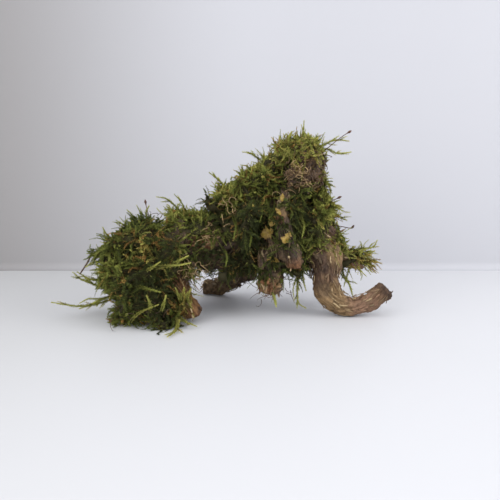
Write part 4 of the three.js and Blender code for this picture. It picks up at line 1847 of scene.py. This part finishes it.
@dataclass
class DeadLeaf:
    """A dry leaf: a crumpled blade, folded along its midrib, with a ragged edge.

    Args:
        name: The piece's name.
        length: From its stalk to its tip.
        width: Across it.
        turn: How far it is turned, in degrees.
        seed: Which of many like leaves it is.
        node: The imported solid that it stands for, where there is one.
        middle: Where it lies, where it has no solid.
        cols: How many points it has across.
        rows: How many points it has from stalk to tip.
        thick: How thick it is.
    """

    name: str
    length: float
    width: float
    turn: float
    seed: int
    node: str | None = None
    middle: Place = (0.0, 0.0, 0.0)
    cols: int = 13
    rows: int = 21
    thick: float = 0.2

    def build(self, finish: bpy.types.Material) -> bpy.types.Object:
        """Builds the leaf."""
        middle = np.array(self.middle)
        if self.node:
            middle = sum(to_plan(np.array(corner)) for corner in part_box(self.node)) / 2
        across, along = np.meshgrid(np.linspace(-1, 1, self.cols), np.linspace(-1, 1, self.rows))
        across, along = across.ravel(), along.ravel()
        blade = self._blade(across, along)
        made = Faces()
        worn = np.clip(np.maximum(np.abs(across), np.abs(along)) ** 4 + 0.3 * (np.abs(across) < 0.1), 0, 1)
        points = np.vstack((blade, blade + (0, self.thick, 0))) + middle
        made.add(points, self._faces(), worn=np.tile(worn, 2))
        piece = made.piece(self.name, finish)
        dress(piece, "dry_leaf", *([self.node] if self.node else []))
        return piece

    def _blade(self, across: Array, along: Array) -> Array:
        """Shapes the blade.

        Args:
            across: Each point's place across the leaf, from -1 to 1.
            along: Its place from stalk to tip, from -1 to 1.

        Returns:
            The points about the leaf's middle, in plan millimetres.
        """
        flat = np.zeros(len(along))
        outline = (1 - np.abs(along) ** 1.7) ** 0.75 * (1 - 0.25 * along)
        lobes = 1 + 0.75 * rough(np.stack((along * 3.4, np.sign(across) * 3, flat), axis=1), 1.5, self.seed)
        x = along * self.length / 2 * (1 + 0.06 * rough(np.stack((across, along, flat), axis=1), 1.3, 5.0))
        z = across * self.width / 2 * outline * lobes
        spot = np.stack((x, z, flat), axis=1)
        crumple = 1.3 * rough(spot, 0.4, self.seed * 3.1) + 0.5 * rough(spot, 1.1, self.seed * 1.7)
        fold = 0.42 * np.abs(z) - 0.9 * (z / self.width) ** 2 * 2
        depth = fold * 0.9 + 0.035 * x**2 + crumple - 0.6
        angle = math.radians(self.turn)
        cos, sin = math.cos(angle), math.sin(angle)
        return np.stack((x * cos - z * sin, depth, x * sin + z * cos), axis=1)

    def _faces(self) -> Array:
        """Gives the faces of the blade's front, back and rim."""
        cols, rows = self.cols, self.rows
        size = rows * cols
        k = (np.arange(rows - 1)[:, None] * cols + np.arange(cols - 1)).ravel()
        front = np.stack((k, k + 1, k + 1 + cols, k + cols), axis=1)
        low, high = np.arange(cols), np.arange(size - 1, size - cols - 1, -1)
        rim = np.concatenate((low, np.arange(2, rows) * cols - 1, high, np.arange(rows - 2, 0, -1) * cols))
        after = np.roll(rim, -1)
        edge = np.stack((after, rim, rim + size, after + size), axis=1)
        return np.vstack((front, front[:, ::-1] + size, edge))


@dataclass
class Stalk:
    """A thin ripe stalk with a nodding capsule at its tip.

    Args:
        node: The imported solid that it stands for.
        points: Its route, from root to tip.
        radius: Its radius at the root.
        capsule: How much wider its capsule is.
    """

    node: str
    points: Sequence[Place]
    radius: float = 0.3
    capsule: float = 0.6

    def build(self, finish: bpy.types.Material) -> bpy.types.Object:
        """Builds the stalk."""
        made = Faces()
        route = Route(self.points, 0.5)
        left = route.length - route.along
        swell = np.exp(-(((left - 1.6) / 1.15) ** 2))
        radii = self.radius * (1 - 0.3 * route.along / route.length) + self.capsule * swell
        made.tube(route, radii * np.clip(0.3 + left / 0.5, 0, 1), 8)
        piece = made.piece(f"{self.node}_ripe", finish)
        dress(piece, "capsule_stalk", self.node)
        return piece


STALKS = (
    Stalk("stalk_crown", [[42, 2, 99], [50.5, 0, 106.5], [58, -2, 112.4], [63.5, -2, 115.8]]),
    Stalk("stalk_flank", [[45, 2, 69.5], [52, 0, 72], [58.3, -2, 75]]),
    Stalk("stalk_side", [[52, 1, 57], [60.5, 0, 55.4], [65, -2, 54.9], [66.8, -2, 56.8]]),
    Stalk("stalk_left", [[-62, 0, 52], [-66, -1, 67], [-67, -1, 73]]),
)

DEAD_LEAVES = (
    DeadLeaf("leaf_left_blade", 8.5, 7.5, 20, 1, "dry_leaf_left"),
    DeadLeaf("leaf_upper_blade", 7, 4, 70, 2, "dry_leaf_upper"),
    DeadLeaf("leaf_lower_blade", 8, 4.6, -14, 3, "dry_leaf_lower"),
    DeadLeaf("leaf_right_blade", 8, 5, 58, 4, None, (21.3, -31.2, 51.5)),
    DeadLeaf("leaf_top_blade", 5, 2.4, 84, 5, None, (18.6, -28.5, 74.5)),
    DeadLeaf("leaf_side_blade", 5, 2.6, 130, 6, None, (16.4, -27.5, 66.5)),
)


@dataclass
class Twig:
    """A bare twig with small knots.

    Args:
        node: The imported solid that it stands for.
        points: Its route, from root to tip.
        radius: Its radius at the root.
    """

    node: str = "bare_twig"
    points: Sequence[Place] = (
        (-84, -3, 41.8), (-95.4, -8, 40.3), (-98.6, -12, 39.2), (-100.6, -14, 34.6), (-105.8, -14, 27),
    )
    radius: float = 0.75

    def build(self, finish: bpy.types.Material) -> bpy.types.Object:
        """Builds the twig."""
        made = Faces()
        route = Route(self.points, 0.5)
        knots = 1 + 0.25 * np.sin(route.along * 0.9) ** 6 + 0.12 * rough(route.centres, 0.8)
        made.tube(route, self.radius * knots * (1 - 0.45 * route.along / route.length), 8)
        piece = made.piece(f"{self.node}_bare", finish)
        dress(piece, "bark", self.node)
        return piece


@dataclass
class Rootlets:
    """Root hairs under the branch and tangled fibres on its front.

    Args:
        name: The piece's name.
    """

    name: str = "rootlets"

    def build(self, dark: bpy.types.Material, tan: bpy.types.Material, seed: int) -> bpy.types.Object:
        """Builds the rootlets as one piece.

        Args:
            dark: The finish of the dark ones.
            tan: The finish of the others.
            seed: Which of many like sets is made.

        Returns:
            The piece.
        """
        made = Faces()
        curls = Curls(made, np.random.default_rng(seed))
        for row in ROOTLET_CURLS:
            curls.scatter(*row)
        piece = made.piece(self.name, dark, tan)
        dress(piece, "bark")
        return piece


@dataclass(frozen=True)
class Lamp:
    """A soft round lamp.

    Args:
        name: Its name.
        at: Where it stands, in plan millimetres.
        target: What it shines on.
        size: How wide it is, in millimetres.
        power: Its power in watts.
    """

    name: str
    at: Place
    target: Place
    size: float
    power: float

    def build(self) -> None:
        """Builds the lamp."""
        data = bpy.data.lights.new(self.name, "AREA")
        data.shape = "DISK"
        data.size = self.size * MM
        data.energy = self.power
        lamp = place_in_scene(self.name, data)
        lamp.location = to_row(np.array(self.at))
        way = Vector(to_row(np.array(self.target)) - to_row(np.array(self.at)))
        lamp.rotation_euler = way.to_track_quat("-Z", "Y").to_euler()


LAMPS = (
    Lamp("key", (90, -140, 640), (0, 0, 30), 1300, 2.1),
    Lamp("window", (560, -260, 330), (20, 0, 40), 420, 1.6),
    Lamp("fill", (-380, -480, 260), (0, 0, 40), 560, 2.3),
)


@dataclass
class Studio:
    """A pale floor, a wall that only shows its face, soft light, and the camera.

    Args:
        eye: Where the camera stands, in plan millimetres.
        pitch: How far it looks down, in degrees.
        lens: Its focal length, in millimetres.
        wall: How far back the wall stands.
        sweep: The radius of the bend in which the wall rises from the floor.
        wide: Half the width of the floor and of the wall.
        sky: The colour of the light from all round.
        sky_strength: How strong that light is.
    """

    eye: Place = (0.0, -290.0, 76.0)
    pitch: float = 7.0
    lens: float = 32.4
    wall: float = 165.0
    sweep: float = 8.0
    wide: float = 1500.0
    sky: Colour = (0.93, 0.95, 1.0)
    sky_strength: float = 1.17

    def build(self) -> None:
        """Builds the studio."""
        self._floor()
        self._wall()
        self._camera()
        for lamp in LAMPS:
            lamp.build()
        world = bpy.data.worlds.new("studio")
        world.use_nodes = True
        light = world.node_tree.nodes["Background"].inputs
        light[0].default_value = (*self.sky, 1.0)
        light[1].default_value = self.sky_strength
        bpy.context.scene.world = world
        bpy.context.scene.view_settings.view_transform = "Standard"

    def _sheet(self, name: str, run: list[tuple[float, float]], material: bpy.types.Material) -> None:
        """Makes a wide sheet.

        Args:
            name: Its name.
            run: Its section, as depth and height in plan millimetres.
            material: Its finish.
        """
        points = np.array([[x, y, z] for y, z in run for x in (-self.wide, self.wide)])
        k = np.arange(len(run) - 1) * 2
        rows = np.stack((k, k + 1, k + 3, k + 2), axis=1)
        mesh = bpy.data.meshes.new(name)
        mesh.from_pydata(to_row(points).tolist(), [], rows.tolist())
        mesh.polygons.foreach_set("use_smooth", np.ones(len(rows), bool))
        mesh.materials.append(material)
        sheet = place_in_scene(name, mesh)

    def _floor(self) -> None:
        """Makes the floor, with a faint unevenness in its tone, and painted light that makes it lighter from
        left to right.
        """
        tree = Tree("pale_floor")
        uneven = 0.06 * tree.noise(tree.place(), 3.0, 2.0)
        # Painted light: the floor grows lighter from left to right, as the light falls from the right.
        share = tree.place_along().over(-0.2, 0.06) * 0.94 + uneven
        colour = tree.mix(share, (0.495, 0.495, 0.495), (0.59, 0.59, 0.605))
        finish = tree.finish({"Base Color": colour, "Roughness": 0.5})
        self._sheet("floor", [(-900.0, 0.0), (1400.0, 0.0)], finish)

    def _wall(self) -> None:
        """Makes the wall, which is clear from behind so that the branch shows from every side, with painted
        light that makes it lighter from left to right.
        """
        tree = Tree("pale_wall")
        behind = tree.node("ShaderNodeNewGeometry", None, None, "Backfacing")
        # Painted light: the wall grows lighter from left to right.
        tone = tree.mix(tree.place_along().over(-0.3, 0.04), (0.245, 0.234, 0.23), (0.47, 0.47, 0.494))
        plain = tree.node("ShaderNodeBsdfDiffuse", None, {"Color": tone})
        clear = tree.node("ShaderNodeBsdfTransparent")
        tree.end(tree.node("ShaderNodeMixShader", None, {0: behind, 1: plain, 2: clear}))
        foot, over_floor, top = self.wall - self.sweep, 0.02, 900.0
        run = [
            (foot + self.sweep * math.sin(turn), over_floor + self.sweep * (1 - math.cos(turn)))
            for turn in np.linspace(0, math.pi / 2, 10)
        ]
        self._sheet("wall", [*run, (self.wall, top)], tree.material)

    def _camera(self) -> None:
        """Sets the camera where the view is taken from."""
        data = bpy.data.cameras.new("camera")
        data.lens = self.lens
        data.clip_end = 10.0
        camera = place_in_scene("camera", data)
        camera.location = to_row(np.array(self.eye))
        camera.rotation_euler = (math.radians(90 - self.pitch), 0, 0)
        bpy.context.scene.camera = camera


FINISHES = (
    BarkFinish("bark", red=from_screen(150, 102, 66)),
    BarkFinish("old_bark", from_screen(106, 80, 60), from_screen(60, 44, 33)),
    BarkFinish(
        "red_bark",
        from_screen(120, 84, 50),
        from_screen(64, 42, 26),
        from_screen(132, 104, 56),
        from_screen(130, 74, 40),
    ),
    MossFinish("deep_moss"),
    MossFinish("olive_moss"),
    MossFinish("light_moss"),
    ThinFinish("dark_fibre", from_screen(44, 32, 22), from_screen(92, 70, 48)),
    ThinFinish("tan_fibre", from_screen(110, 84, 52), from_screen(176, 150, 104)),
    ThinFinish("crumb", from_screen(48, 34, 22), from_screen(108, 80, 50)),
    LeafFinish("dry_leaf"),
    ThinFinish("ripe_stalk", from_screen(48, 30, 20), from_screen(96, 58, 34), 1500.0),
)


def main() -> None:
    """Builds the studio and every piece of the branch."""
    logging.basicConfig(level=logging.INFO, format="%(name)s: %(message)s")
    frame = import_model()
    Studio().build()
    ground = Ground(frame)
    looks = {finish.name: finish.material() for finish in FINISHES}
    for seed, limb in enumerate(LIMBS, 1):
        limb.build(looks[limb.slot], seed)
    for seed, clump in enumerate(CLUMPS, 20):
        clump.build(ground, looks[clump.slot], seed)
    for seed, sprig in enumerate(SPRIGS, 40):
        sprig.build(looks["light_moss"], seed)
    LooseShoots().build(looks["light_moss"], 90)
    Litter().build(ground, looks["crumb"], looks["tan_fibre"], 71)
    Rootlets().build(looks["dark_fibre"], looks["tan_fibre"], 83)
    Twig().build(looks["dark_fibre"])
    for stalk in STALKS:
        stalk.build(looks["ripe_stalk"])
    for leaf in DEAD_LEAVES:
        leaf.build(looks["dry_leaf"])


if __name__ == "__main__":
    main()
